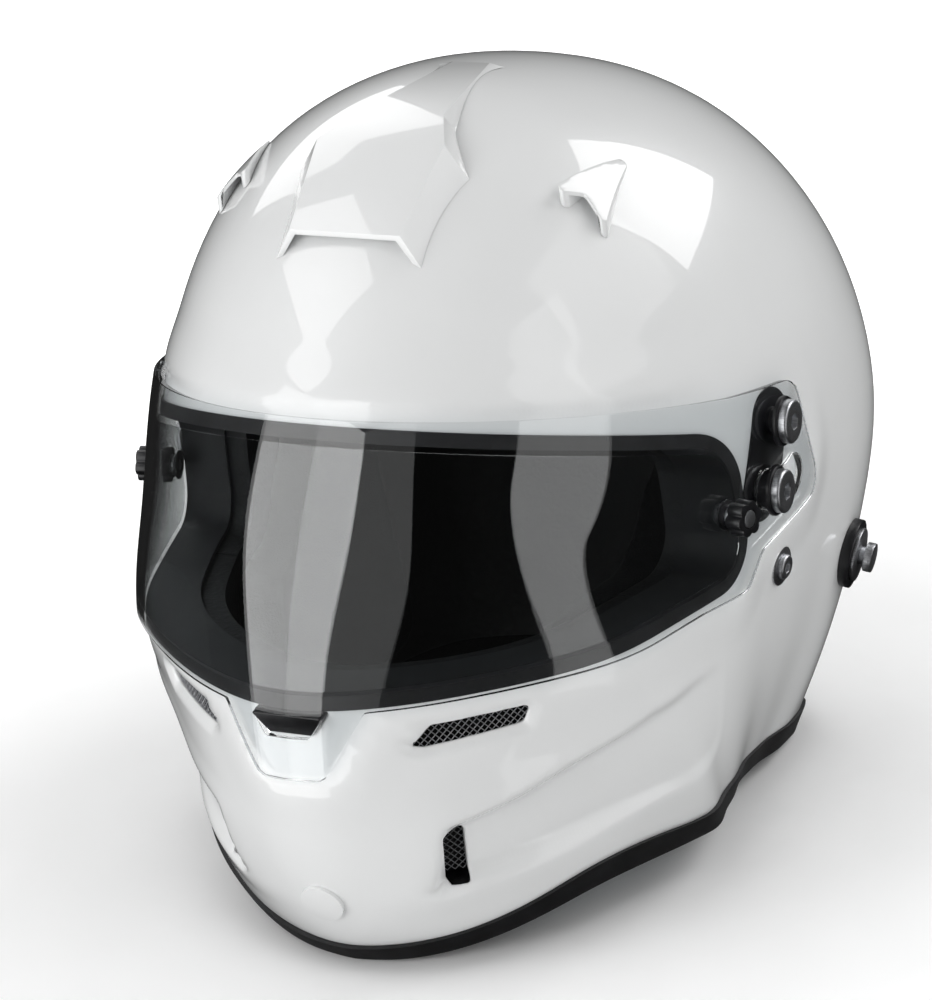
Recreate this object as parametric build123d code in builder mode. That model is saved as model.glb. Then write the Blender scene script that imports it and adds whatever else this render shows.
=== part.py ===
"""Full face auto racing helmet, built as an assembly of separate pieces.

The helmet stands on its rubber edge with the face to -Y, the wearer's left side
to +X and up to +Z. The origin is on the floor, under the middle of its box.
Sizes are millimetres. Pieces that come in pairs are made on the left and mirrored.
"""
import os
from math import atan2, cos, degrees, hypot, radians, sin

from build123d import *

os.makedirs("parts", exist_ok=True)

# Overall size of the hard shell
shell_length = 330.0
shell_height = 286.0
shell_width = 242.0
shell_wall = 3.0
span = 400.0
deep = 45.0
clear_out = 15.0
near_middle = 0.01

# The shell is lofted through arches that stand in planes fanned about one low
# lateral line. Each arch: y and z of its crown as shares of length and height,
# half width as a share of width, how far up the arch it is widest, roundness.
station_shares = [
    (-0.279, -0.101, 0.248, 0.050, 1.72),
    (-0.427, 0.014, 0.289, 0.130, 1.74),
    (-0.485, 0.147, 0.329, 0.200, 1.78),
    (-0.495, 0.294, 0.360, 0.260, 1.82),
    (-0.474, 0.437, 0.388, 0.320, 1.87),
    (-0.427, 0.577, 0.432, 0.385, 1.97),
    (-0.355, 0.727, 0.444, 0.410, 2.02),
    (-0.235, 0.892, 0.465, 0.450, 2.09),
    (-0.056, 0.988, 0.488, 0.520, 2.16),
    (0.141, 0.984, 0.500, 0.560, 2.19),
    (0.333, 0.900, 0.496, 0.580, 2.19),
    (0.467, 0.720, 0.479, 0.600, 2.17),
    (0.497, 0.507, 0.436, 0.600, 2.18),
    (0.442, 0.311, 0.382, 0.460, 2.17),
    (0.370, 0.136, 0.347, 0.280, 2.15),
    (0.285, -0.070, 0.312, 0.090, 2.12),
]
fan_y_share = 0.015
fan_z_share = -0.189
fan_reach_share = 0.140
tuck_share = 0.572
low_steps = 3
arch_steps = 6
steepest_share = 0.45
steepest_inner_share = 0.80

# Side view outlines: y as a share of length, z as a share of height, and the
# rounding of the corner as a share of length
rim_shares = [
    (-0.515, 0.007), (-0.442, 0.007), (-0.388, 0.028), (-0.303, 0.068), (-0.188, 0.066),
    (-0.045, 0.055), (0.121, 0.028), (0.273, 0.010), (0.364, 0.007), (0.515, 0.007),
]
port_shares = [
    (-0.606, 0.797, 0), (-0.082, 0.579, 0.067), (-0.082, 0.404, 0.045), (-0.606, 0.404, 0),
]
visor_shares = [
    (-0.606, 0.790, 0), (-0.367, 0.722, 0.300), (-0.070, 0.635, 0), (0.052, 0.607, 0.039),
    (0.097, 0.434, 0.027), (-0.054, 0.417, 0.021), (-0.088, 0.378, 0.018),
    (-0.167, 0.386, 0), (-0.606, 0.393, 0),
]
jaw_shares = [
    (-0.438, 0.215, 0.012), (-0.376, 0.236, 0.050), (-0.252, 0.294, 0.050),
    (-0.112, 0.297, 0.020), (-0.112, 0.168, 0.030), (-0.229, 0.156, 0.050),
    (-0.405, 0.124, 0.012), (-0.438, 0.112, 0.008),
]
cheek_shares = [
    (-0.206, 0.150, 0.055), (-0.206, 0.385, 0.030), (-0.080, 0.385, 0.040),
    (0.030, 0.520, 0.040), (0.142, 0.520, 0.055), (0.142, 0.120, 0.055),
]

# Clearances
seat_gap = 0.3
shaft_gap = 0.05
slide_gap = 0.4

# Eye port gasket
gasket_wall = 1.6
gasket_lip = 3.6
gasket_rise = 0.8
gasket_depth = 20.0

# Visor
visor_gap = 2.0
visor_thickness = 2.8
visor_flat_radius = 38.0
visor_flat_rise = 5.6
tab_top_width = 61.0
tab_low_width = 26.0
tab_bottom = 87.5
tab_top = 116.5
tab_radius = 5.0
tab_reach = 100.0
film_thickness = 0.6
film_gap = 0.2
film_margin = 3.5
visor_swing = 44.0

# Visor pivots, both on lines along X
pivot_y = 1.0
pivot_z = 163.0
guide_back = -12.0
guide_drop = 22.3
washer_diameter = 18.5
washer_thickness = 1.8
washer_chamfer = 0.4
pivot_hub_diameter = 10.0
guide_hub_diameter = 14.4
slot_spare = 2.0
screw_head_diameter = 16.2
screw_head_height = 3.4
screw_head_edge = 1.2
screw_shank_diameter = 5.0
screw_shank_length = 18.0
screw_hex_diameter = 6.4
screw_hex_depth = 2.4
plate_rise = 0.6
plate_sink = 0.05
plate_radius = 12.0
plate_bar = 4.0
backing_radius = 9.0
backing_thickness = 5.0

# Tear off posts through the visor
post_y = -35.0
post_z = 141.0
post_shank_diameter = 4.0
post_nut_diameter = 11.0
post_nut_thickness = 1.4
post_spacer_diameter = 8.0
post_spacer_height = 2.2
post_cap_diameter = 6.4
post_cap_height = 1.2
knob_diameter = 13.4
knob_lobe_diameter = 5.2
knob_lobes = 6
knob_height = 6.4

# Visor catch in the tab
catch_z = 107.4
catch_height = 8.2
catch_top_width = 28.0
catch_low_width = 17.0
catch_edge = 0.6
catch_low_rise = 0.3
catch_top_rise = 2.2
catch_travel = 3.0
catch_stem_length = 7.0
catch_flange = 2.0
catch_flange_thickness = 2.0
housing_wall = 1.6
housing_depth = 13.0

# Vents of the chin bar
vent_x = 57.0
vent_z = 98.0
vent_turn = 39.4
vent_corners = [(-22.2, -4.0), (-13.4, 3.6), (22.7, 3.5), (19.5, -2.5)]
vent_radius = 1.2
vent_border = 2.4
vent_bevel_depth = 3.2
vent_bevel_start = 1.4
vent_bevel_taper = 40.0
vent_reach = 14.0
mesh_thickness = 1.0
mesh_overlap = 2.0
recess_turn = 3.2
recess_pivot_x = 110.0
recess_pivot_y = -37.0
jaw_wall = 10.0
jaw_floor = 2.5
jaw_rim = 2.0
jaw_pocket_depth = 14.0
jaw_fit = 0.1
jaw_vent_x = 46.5
jaw_vent_z = 47.0
jaw_vent_width = 8.0
jaw_vent_height = 22.0
jaw_vent_radius = 1.5
jaw_vent_turn = 34.0

# Rear exhaust vents
rear_vent_x = 36.0
rear_vent_z = 112.0
rear_vent_width = 34.0
rear_vent_height = 8.0

# Top scoop: for each section its y, base half width, top half width and rise
top_scoop_sections = [
    (-80.0, 29.0, 22.0, 6.5), (-46.0, 34.0, 25.5, 7.0), (-28.0, 21.0, 17.0, 5.5),
    (30.0, 14.0, 7.5, 1.2),
]
top_scoop_wall = 2.0
top_scoop_hollow_end = -34.0
scoop_keel = 25.0

# Side scoops: plan view corners of the left one
side_scoop_corners = [(61.5, -39.5), (70.5, -30.0), (79.5, -34.5), (73.5, 5.0)]
side_scoop_apex_z = 260.0
side_scoop_hollow = [(63.5, -45.0), (78.5, -45.0), (74.5, -16.0), (71.5, -16.0)]
side_scoop_pitch = 9.0
side_scoop_wall = 1.6
side_scoop_radius = 1.5

# Chin cap
cap_diameter = 16.5
cap_rise = 0.9
cap_stem_diameter = 9.0
cap_stem_length = 9.0
cap_z = 33.0

# Chin straps, their screws and the strap rings
strap_y = 5.7
strap_screw_z = 102.0
strap_head_diameter = 9.4
strap_head_height = 2.2
strap_dish_diameter = 15.0
strap_dish_height = 0.9
strap_shank_diameter = 6.0
strap_shank_length = 10.0
strap_width = 24.0
strap_thickness = 1.8
strap_inset = 4.4
strap_top_z = 112.0
strap_wall_heights = [84.0, 58.0]
strap_turn_z = 38.0
strap_turn_inset = 11.0
strap_low_x = 84.0
strap_low_z = 22.0
strap_rest_z = 18.0
strap_left_end_x = 52.0
strap_right_end_x = 18.0
strap_play = 0.6
strap_bend = 12.0
ring_wire = 3.2
ring_radius = 14.5
ring_pitch = 4.6
ring_gap = 0.3

# Head restraint posts
restraint_y = 80.0
restraint_z = 73.0
restraint_base_diameter = 27.0
restraint_base_height = 3.4
restraint_ring_diameter = 21.0
restraint_ring_height = 1.4
restraint_neck_diameter = 7.0
restraint_neck_height = 2.2
restraint_head_diameter = 11.5
restraint_head_height = 3.2
restraint_shank_diameter = 6.0
restraint_shank_length = 9.0
restraint_nut_diameter = 15.0
restraint_nut_thickness = 4.0

# Rubber edge trim
trim_wall = 1.8
trim_up = 7.0
trim_down = 2.6
trim_joins = [-60.0, 40.0]

# Energy absorbing liner and comfort pads
liner_thickness = 26.0
liner_up = 13.0
liner_split_y = -56.0
liner_split_z = 115.0
crown_pad_thickness = 6.5
crown_pad_low_z = 172.0
crown_pad_border = 9.0
crown_channel_width = 7.0
crown_channel_pitch = 44.0
crown_channel_count = 3
crown_channel_front = -45.0
crown_channel_back = 80.0
cheek_pad_thickness = 22.0
roll_thickness = 21.0
neck_roll_y = 50.0
chin_roll_y = -70.0

standing = (Align.CENTER, Align.CENTER, Align.MIN)
hanging = (Align.CENTER, Align.CENTER, Align.MAX)


def at_side(share):
    """A place in side view, given as shares of shell length and height."""
    return share[0] * shell_length, share[1] * shell_height


def station(index):
    """Crown y and z, half width, widest share and roundness of one arch."""
    y, z, half_width, widest, roundness = station_shares[index]
    return y * shell_length, z * shell_height, half_width * shell_width, widest, roundness


fan_y = fan_y_share * shell_length
fan_z = fan_z_share * shell_height
fan_reach = fan_reach_share * shell_height


def slant(index, steepest):
    """How squarely the arch's upright meets the shell at its crown."""
    before = station(max(index - 1, 0))
    after = station(min(index + 1, len(station_shares) - 1))
    here = station(index)
    along = Vector(0, after[0] - before[0], after[1] - before[1]).normalized()
    upright = Vector(0, here[0] - fan_y, here[1] - fan_z).normalized()
    return max(abs(upright.cross(along).X), steepest)


def arch_points(index, side, top, steepest):
    """Points of the left half of one arch, from foot to crown, moved out."""
    y, z, half_width, widest, roundness = station(index)
    reach = hypot(y - fan_y, z - fan_z)
    widest_at = fan_reach + widest * (reach - fan_reach)
    half_width += side
    reach += top / slant(index, steepest)
    half = []
    for step in range(low_steps):
        rise = (widest_at - fan_reach) * step / low_steps
        drop = widest_at - fan_reach - rise
        narrowing = tuck_share * drop * drop / (widest_at - fan_reach) / shell_height
        half.append((half_width * (1 - narrowing), fan_reach + rise))
    for step in range(arch_steps):
        turn = radians(90.0 * step / arch_steps)
        across = half_width * cos(turn) ** (2 / roundness)
        up = (reach - widest_at) * sin(turn) ** (2 / roundness)
        half.append((across, widest_at + up))
    return half + [(0, reach)]


def fan_plane(index):
    """The plane in which one arch stands."""
    y, z = station(index)[:2]
    upright = Vector(0, y - fan_y, z - fan_z).normalized()
    return Plane((0, fan_y, fan_z), x_dir=(1, 0, 0), z_dir=(0, -upright.Z, upright.Y))


def running_shares(points):
    """How far along a row of points each one lies, from 0 to 1."""
    steps = [(Vector(*b) - Vector(*a)).length for a, b in zip(points, points[1:])]
    return [sum(steps[:count]) / sum(steps) for count in range(len(points))]


shared_knots = running_shares(arch_points(len(station_shares) // 2, 0, 0, steepest_share))


def half_arch(index, surface):
    """Smooth line of the left half of one arch, level where it meets the middle."""
    points = [Vector(*point) for point in arch_points(index, *surface)]
    ways = [(points[1] - points[0]).normalized(), Vector(-1, 0)]
    return Edge.make_spline(points, tangents=ways, parameters=shared_knots)


def arch_section(index, outer, inner):
    """Half crescent between an outer and an inner arch."""
    with BuildSketch(fan_plane(index)) as crescent:
        with BuildLine():
            outside = half_arch(index, outer)
            inside = half_arch(index, inner)
            add([outside, inside])
            Line(outside @ 0, inside @ 0)
            Line(outside @ 1, inside @ 1)
        make_face()
    return crescent.sketch


def layer(outer, inner):
    """Left half of a layer between two surfaces, each (side, top, steepest)."""
    with BuildPart() as between:
        loft([arch_section(index, outer, inner) for index in range(len(station_shares))])
    return between.part


def close_surface(offset):
    """Surface that follows the shell closely, a set distance outside it."""
    return offset, offset, steepest_share


def deep_surface(offset):
    """Surface well inside the shell, eased where the arches lean most."""
    return offset, offset, steepest_inner_share


def band(outer, inner):
    """Left half of a layer that follows the shell between two offsets."""
    return layer(close_surface(outer), close_surface(inner))


def side_run(corners, grow=0.0):
    """Rounded side view outline, run right across the helmet."""
    with BuildPart() as run:
        with BuildSketch(Plane.YZ):
            with BuildLine():
                FilletPolyline(
                    *[at_side(corner) for corner in corners],
                    radius=[corner[2] * shell_length for corner in corners],
                    close=True,
                )
            make_face()
            if grow:
                offset(amount=grow)
        extrude(amount=span, both=True)
    return run.part


def above_rim(lift):
    """Everything above the shell's lower edge, raised by lift."""
    with BuildPart() as zone:
        with BuildSketch(Plane.YZ):
            with BuildLine():
                edge = Spline(*[(y, z + lift) for y, z in map(at_side, rim_shares)])
                Polyline(edge @ 1, (span, (edge @ 1).Y), (span, span), (-span, span),
                         (-span, (edge @ 0).Y), edge @ 0)
            make_face()
        extrude(amount=span, both=True)
    return zone.part


def rim_strip(low, high):
    """Strip along the left half of the lower edge, between two heights over it."""
    with BuildPart() as zone:
        with BuildSketch(Plane.YZ):
            with BuildLine():
                under = Spline(*[(y, z + low) for y, z in map(at_side, rim_shares)])
                over = Spline(*[(y, z + high) for y, z in map(at_side, rim_shares)])
                Line(under @ 0, over @ 0)
                Line(under @ 1, over @ 1)
            make_face()
        extrude(amount=span)
    return zone.part


def block(low, high):
    """Plain box between two corners."""
    size = Vector(*high) - Vector(*low)
    with BuildPart() as box:
        with Locations(Vector(*low)):
            Box(*size, align=(Align.MIN, Align.MIN, Align.MIN))
    return box.part


def write(piece, name):
    """Label one finished piece and write it to its own file."""
    piece.part.label = name
    export_step(piece.part, f"parts/{name}.step")


def write_pair(piece, name):
    """Write a left piece and its mirror image on the right."""
    with BuildPart() as twin:
        mirror(piece.part, about=Plane.YZ)
    write(piece, f"{name}_left")
    write(twin, f"{name}_right")


# Forms that shape several pieces
full_form = band(0, -deep)
seat_form = band(shaft_gap, -deep)
rim_zone = above_rim(0)
port_zone = side_run(port_shares)
left_half = block((0, -span, -span), (span, span, span))
skin = full_form.faces().sort_by(SortBy.AREA)[-1]


def skin_plane(start, direction, outward=0.0):
    """Plane touching the shell where a line from inside leaves it, facing out."""
    way = Vector(*direction)
    hits = skin.find_intersection_points(Axis(start, direction))
    place, normal = max(hits, key=lambda hit: (hit[0] - Vector(*start)).dot(way))
    if normal.dot(way) < 0:
        normal = -normal
    return Plane(place + normal * outward, x_dir=Vector(0, 0, 1).cross(normal), z_dir=normal)


def middle_plane(z):
    """Plane touching the front of the shell in the middle at a height, facing out."""
    touching = skin_plane((near_middle, 0, z), (0, -1, 0))
    _, y, z = touching.origin
    return Plane((0, y, z), x_dir=(1, 0, 0), z_dir=(0, touching.z_dir.Y, touching.z_dir.Z))


def across_plane(y, z, outward=0.0):
    """Plane square to X where the left side of the shell stands at y and z."""
    place = skin_plane((0, y, z), (1, 0, 0)).origin
    return Plane(place + Vector(outward, 0, 0), x_dir=(0, 1, 0), z_dir=(1, 0, 0))


guide_y = pivot_y + guide_back
guide_z = pivot_z - guide_drop
guide_radius = hypot(guide_back, guide_drop)
visor_flat = across_plane(pivot_y, pivot_z, visor_flat_rise)
pivot_seat = visor_flat.offset(seat_gap)
guide_seat = Plane((pivot_seat.origin.X, guide_y, guide_z), x_dir=(0, 1, 0), z_dir=(1, 0, 0))
post_seat = skin_plane((0, post_y, post_z), (1, 0, 0))
strap_seat = skin_plane((0, strap_y, strap_screw_z), (1, 0, 0))
restraint_seat = skin_plane((0, restraint_y, restraint_z), (1, 0, 0))
cap_seat = middle_plane(cap_z)
catch_seat = Plane(middle_plane(catch_z).origin, x_dir=(1, 0, 0), z_dir=(0, -1, 0))
vent_seat = Plane(
    skin_plane((vent_x, 0, vent_z), (0, -1, 0)).origin,
    x_dir=(cos(radians(vent_turn)), sin(radians(vent_turn)), 0),
    z_dir=(sin(radians(vent_turn)), -cos(radians(vent_turn)), 0),
)
jaw_vent_seat = Plane(
    skin_plane((jaw_vent_x, 0, jaw_vent_z), (0, -1, 0)).origin,
    x_dir=(cos(radians(jaw_vent_turn)), sin(radians(jaw_vent_turn)), 0),
    z_dir=(sin(radians(jaw_vent_turn)), -cos(radians(jaw_vent_turn)), 0),
)
rear_vent_seat = skin_plane((rear_vent_x, 0, rear_vent_z), (0, 1, 0))


def slot_run(plane, corners, radius, grow, reach):
    """Rounded four sided hole, run both ways from its plane."""
    with BuildPart() as run:
        with BuildSketch(plane):
            with BuildLine():
                FilletPolyline(*corners, radius=radius, close=True)
            make_face()
            if grow:
                offset(amount=grow)
        extrude(amount=reach, both=True)
    return run.part


def upright_corners(width, height):
    """Corners of an upright rectangle about its middle."""
    x, y = width / 2, height / 2
    return [(-x, -y), (x, -y), (x, y), (-x, y)]


def chin_vent(grow):
    """The slanted intake of the left chin bar."""
    return slot_run(vent_seat, vent_corners, vent_radius, grow, vent_reach)


def jaw_vent(grow):
    """The upright intake at the front end of the left jaw recess."""
    corners = upright_corners(jaw_vent_width, jaw_vent_height)
    return slot_run(jaw_vent_seat, corners, jaw_vent_radius, grow, vent_reach)


def rear_vent(grow):
    """The level exhaust low on the left of the back."""
    corners = upright_corners(rear_vent_width, rear_vent_height)
    return slot_run(rear_vent_seat, corners, vent_radius, grow, vent_reach)


jaw_zone = side_run(jaw_shares) & left_half
jaw_fit_zone = side_run(jaw_shares, -jaw_fit) & left_half
jaw_inner_zone = side_run(jaw_shares, -jaw_rim) & left_half
jaw_turn_line = Axis((recess_pivot_x, recess_pivot_y, 0), (0, 0, 1))


def bevel_run(plane, corners):
    """Tapered cut that bevels the edge of a vent."""
    with BuildPart() as bevel:
        with BuildSketch(plane.offset(vent_bevel_start)):
            with BuildLine():
                FilletPolyline(*corners, radius=vent_radius, close=True)
            make_face()
            offset(amount=vent_border)
        extrude(amount=-vent_bevel_depth, taper=vent_bevel_taper)
    return bevel.part


def rod(plane, diameter, low, high):
    """Round bar square to a plane between two heights."""
    with BuildPart(plane.offset(low)) as bar:
        Cylinder(diameter / 2, high - low, align=standing)
    return bar.part


pivot_line = Plane((0, pivot_y, pivot_z), x_dir=(0, 1, 0), z_dir=(1, 0, 0))
guide_line = Plane((0, guide_y, guide_z), x_dir=(0, 1, 0), z_dir=(1, 0, 0))
shank_bore = screw_shank_diameter + 2 * seat_gap
shell_bores = [
    rod(pivot_line, shank_bore, 0, span),
    rod(guide_line, shank_bore, 0, span),
    rod(strap_seat, strap_shank_diameter + 2 * seat_gap, -clear_out, clear_out),
    rod(restraint_seat, restraint_shank_diameter + 2 * seat_gap, -clear_out, clear_out),
    rod(cap_seat, cap_stem_diameter + 2 * seat_gap, -clear_out, clear_out),
]
catch_corners = [
    (-catch_low_width / 2, -catch_height / 2), (catch_low_width / 2, -catch_height / 2),
    (catch_top_width / 2, catch_height / 2), (-catch_top_width / 2, catch_height / 2),
]

# Hard shell: lofted layer, cut by its rim, the eye port, the jaw inlets, the
# vents and the bores of every fitting.
with BuildPart() as outer_shell:
    add(band(0, -shell_wall) & rim_zone)
    add(port_zone, mode=Mode.SUBTRACT)
    add([jaw_zone, chin_vent(0), bevel_run(vent_seat, vent_corners), rear_vent(0),
         slot_run(catch_seat, catch_corners, catch_edge, slide_gap, vent_reach)],
        mode=Mode.SUBTRACT)
    add(shell_bores, mode=Mode.SUBTRACT)
    mirror(about=Plane.YZ)

write(outer_shell, "outer_shell")


def figure_run(radius, inward, outward):
    """Rounded bar round the pivot and the guide, run along X from its seat."""
    middle = ((pivot_y + guide_y) / 2, (pivot_z + guide_z) / 2)
    with BuildPart() as run:
        with BuildSketch(across_plane(guide_y, guide_z, -inward)):
            with Locations((middle[0] - guide_y, middle[1] - guide_z)):
                SlotCenterToCenter(guide_radius, 2 * radius,
                                   rotation=degrees(atan2(guide_drop, -guide_back)))
        extrude(amount=inward + outward)
    return run.part


# Fitted lining and rubber

under_shell = -shell_wall - shaft_gap
fitted_outside = band(clear_out, under_shell)

port_hole = side_run(port_shares, -gasket_wall)
port_fit = side_run(port_shares, -shaft_gap)

with BuildPart() as trim_half:
    add(band(trim_wall, -shell_wall - trim_wall) & rim_strip(-trim_down, trim_up))
    add(band(shaft_gap, -shell_wall - shaft_gap) & rim_strip(-shaft_gap, 2 * trim_up),
        mode=Mode.SUBTRACT)

with BuildPart() as bottom_edge_trim:
    for low, high in zip([-span] + trim_joins, trim_joins + [span]):
        length = trim_half.part & block((0, low, 0), (span, high, span))
        add(length, clean=False)
        add(mirror(length, about=Plane.YZ, mode=Mode.PRIVATE), clean=False)

with BuildPart() as eye_port_gasket:
    add(band(gasket_rise / 2, -gasket_depth) & (port_fit - port_hole))
    add(band(gasket_rise, shaft_gap) & (side_run(port_shares, gasket_lip) - port_hole))
    mirror(about=Plane.YZ)

write(bottom_edge_trim, "bottom_edge_trim")

write(eye_port_gasket, "eye_port_gasket")

# Jaw inlets: a dished floor that turns inward to the front, with a wall round it
with BuildPart() as jaw_inlet:
    add(band(0, -jaw_floor).rotate(jaw_turn_line, -recess_turn) & jaw_fit_zone)
    add((band(0, -jaw_wall) & jaw_fit_zone) - jaw_inner_zone)
    add(jaw_vent(0), mode=Mode.SUBTRACT)

mesh_form = band(under_shell, under_shell - mesh_thickness)
jaw_mesh_form = band(-jaw_floor - shaft_gap, -jaw_floor - shaft_gap - mesh_thickness)

with BuildPart() as chin_vent_mesh:
    add(mesh_form & chin_vent(mesh_overlap))

with BuildPart() as jaw_vent_mesh:
    add(jaw_mesh_form.rotate(jaw_turn_line, -recess_turn) & jaw_vent(mesh_overlap)
        & side_run(jaw_shares, -jaw_rim - seat_gap))

with BuildPart() as rear_vent_mesh:
    add(mesh_form & rear_vent(mesh_overlap))

write_pair(jaw_inlet, "jaw_inlet")
write_pair(chin_vent_mesh, "chin_vent_mesh")
write_pair(jaw_vent_mesh, "jaw_vent_mesh")
write_pair(rear_vent_mesh, "rear_vent_mesh")


# Scoops on the crown

def scoop_section(y, base_half, top_half, rise, inset):
    """Upright trapezoid across the crown, reaching down through the shell."""
    crest = skin_plane((near_middle, y, 0), (0, 0, 1)).origin.Z + rise - inset
    edge = skin_plane((base_half, y, 0), (0, 0, 1)).origin.Z
    base_half -= inset
    top_half -= inset
    with BuildSketch(Plane((0, y, 0), x_dir=(1, 0, 0), z_dir=(0, -1, 0))) as section:
        with BuildLine():
            Polyline((-base_half, edge - scoop_keel), (-base_half, edge), (-top_half, crest),
                     (top_half, crest), (base_half, edge), (base_half, edge - scoop_keel),
                     close=True)
        make_face()
    return section.sketch


with BuildPart() as scoop_hollow:
    loft([scoop_section(*place, top_scoop_wall) for place in top_scoop_sections], ruled=True)
    add(block((-span, -span, 0), (span, top_scoop_hollow_end, span)), mode=Mode.INTERSECT)
    extrude(scoop_hollow.faces().sort_by(Axis.Y)[0], amount=clear_out)

with BuildPart() as top_scoop:
    loft([scoop_section(*place, 0) for place in top_scoop_sections], ruled=True)
    add(left_half, mode=Mode.INTERSECT)
    add([seat_form, scoop_hollow.part], mode=Mode.SUBTRACT)
    mirror(about=Plane.YZ)


def upright_run(corners, radius):
    """Plan view outline run upwards from the middle of the helmet."""
    with BuildPart() as run:
        with BuildSketch(Plane.XY.offset(shell_height / 2)):
            with BuildLine():
                FilletPolyline(*corners, radius=radius, close=True)
            make_face()
        extrude(amount=shell_height)
    return run.part


scoop_turn_line = Axis((0, side_scoop_corners[-1][1], side_scoop_apex_z), (1, 0, 0))
raised_form = full_form.rotate(scoop_turn_line, -side_scoop_pitch)

with BuildPart() as side_scoop:
    add(raised_form & upright_run(side_scoop_corners, side_scoop_radius))
    add(seat_form, mode=Mode.SUBTRACT)
    add(raised_form.moved(Location((0, 0, -side_scoop_wall)))
        & upright_run(side_scoop_hollow, side_scoop_radius), mode=Mode.SUBTRACT)

write(top_scoop, "top_scoop")
write_pair(side_scoop, "side_scoop")

# Visor and film, with the holes for the pivots, the posts and the catch
visor_outer = visor_gap + visor_thickness
slot_width = guide_hub_diameter + 2 * seat_gap
guide_angle = degrees(atan2(-guide_drop, guide_back))

with BuildPart() as tab_zone:
    with BuildSketch(Plane.XZ.offset(tab_reach)):
        with BuildLine():
            FilletPolyline(
                (-tab_top_width / 2, tab_top), (-tab_low_width / 2, tab_bottom),
                (tab_low_width / 2, tab_bottom), (tab_top_width / 2, tab_top),
                radius=[0, tab_radius, tab_radius, 0], close=True,
            )
        make_face()
    extrude(amount=span)

with BuildPart() as guide_slots:
    with BuildSketch(Plane.YZ):
        with BuildLine():
            CenterArc((pivot_y, pivot_z), guide_radius, guide_angle - slot_spare,
                      visor_swing + 2 * slot_spare)
            offset(amount=slot_width / 2, side=Side.BOTH)
        make_face()
    extrude(amount=span, both=True)

pivot_hole = pivot_hub_diameter + 2 * shaft_gap
post_hole = post_shank_diameter + 2 * shaft_gap

with BuildPart() as visor:
    add(band(visor_outer, visor_gap) & (side_run(visor_shares) + tab_zone.part))
    add([rod(visor_flat, 2 * visor_flat_radius, 0, clear_out),
         rod(pivot_line, pivot_hole, 0, span),
         rod(post_seat, post_hole, -clear_out, clear_out),
         guide_slots.part,
         slot_run(catch_seat, catch_corners, catch_edge, slide_gap, vent_reach)],
        mode=Mode.SUBTRACT)
    mirror(about=Plane.YZ)

with BuildPart() as anti_fog_film:
    add(band(visor_gap - film_gap, visor_gap - film_gap - film_thickness)
        & side_run(port_shares, -film_margin))
    add(rod(post_seat, post_nut_diameter + 2 * slide_gap, -clear_out, clear_out),
        mode=Mode.SUBTRACT)
    mirror(about=Plane.YZ)

write(visor, "visor")
write(anti_fog_film, "anti_fog_film")

# Pivot plates, washers and screws
plate_form = band(plate_rise + shaft_gap, -deep)

with BuildPart() as pivot_plate:
    add(band(plate_rise, plate_sink) & figure_run(plate_radius, clear_out, clear_out))
    add([rod(pivot_line, shank_bore, 0, span), rod(guide_line, shank_bore, 0, span)],
        mode=Mode.SUBTRACT)

with BuildPart() as pivot_backing:
    add(band(under_shell, under_shell - backing_thickness)
        & figure_run(backing_radius, clear_out, clear_out))
    add([rod(pivot_line, screw_shank_diameter + 2 * shaft_gap, 0, span),
         rod(guide_line, screw_shank_diameter + 2 * shaft_gap, 0, span)], mode=Mode.SUBTRACT)


def make_washer(seat, hub_diameter):
    """Flat washer on a hub that passes through the visor to the pivot plate."""
    with BuildPart() as washer:
        with Locations(seat):
            Cylinder(washer_diameter / 2, washer_thickness, align=standing)
        chamfer(washer.faces().sort_by(Axis.X)[-1].edges(), washer_chamfer)
        with Locations(seat):
            Cylinder(hub_diameter / 2, clear_out, align=hanging)
            Cylinder(shank_bore / 2, span, mode=Mode.SUBTRACT)
        add(plate_form, mode=Mode.SUBTRACT)
    return washer


def make_screw(seat, head_diameter, head_height, head_edge, shank_diameter, shank_length, hex_size):
    """Round headed screw with a hexagon socket, its head standing on the seat."""
    with BuildPart() as screw:
        with Locations(seat):
            Cylinder(head_diameter / 2, head_height, align=standing)
            Cylinder(shank_diameter / 2, shank_length, align=hanging)
        top = seat.offset(head_height)
        circles = screw.edges().filter_by(GeomType.CIRCLE)
        rim = circles.sort_by(lambda edge: (edge.arc_center - top.origin).length)[0]
        fillet(rim, head_edge)
        with BuildSketch(top):
            RegularPolygon(hex_size / 2, 6)
        extrude(amount=-screw_hex_depth * head_height / screw_head_height, mode=Mode.SUBTRACT)
    return screw


pivot_washer = make_washer(pivot_seat, pivot_hub_diameter)
guide_washer = make_washer(guide_seat, guide_hub_diameter)
big_screw = (screw_head_diameter, screw_head_height, screw_head_edge, screw_shank_diameter,
             screw_shank_length, screw_hex_diameter)
pivot_screw = make_screw(pivot_seat.offset(washer_thickness), *big_screw)
guide_screw = make_screw(guide_seat.offset(washer_thickness), *big_screw)

write_pair(pivot_plate, "pivot_plate")
write_pair(pivot_backing, "pivot_backing")
write_pair(pivot_washer, "pivot_washer")
write_pair(guide_washer, "guide_washer")
write_pair(pivot_screw, "pivot_screw")
write_pair(guide_screw, "guide_screw")

# Tear off posts: nut inside the visor, shouldered stud, turning knob outside
nut_top = visor_gap - seat_gap / 2
spacer_low = visor_outer + shaft_gap
knob_low = spacer_low + post_spacer_height + shaft_gap
cap_low = knob_low + knob_height - post_cap_height

with BuildPart() as tear_off_nut:
    with Locations(post_seat.offset(nut_top)):
        Cylinder(post_nut_diameter / 2, post_nut_thickness, align=hanging)
        Cylinder(post_hole / 2, span, mode=Mode.SUBTRACT)

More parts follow.
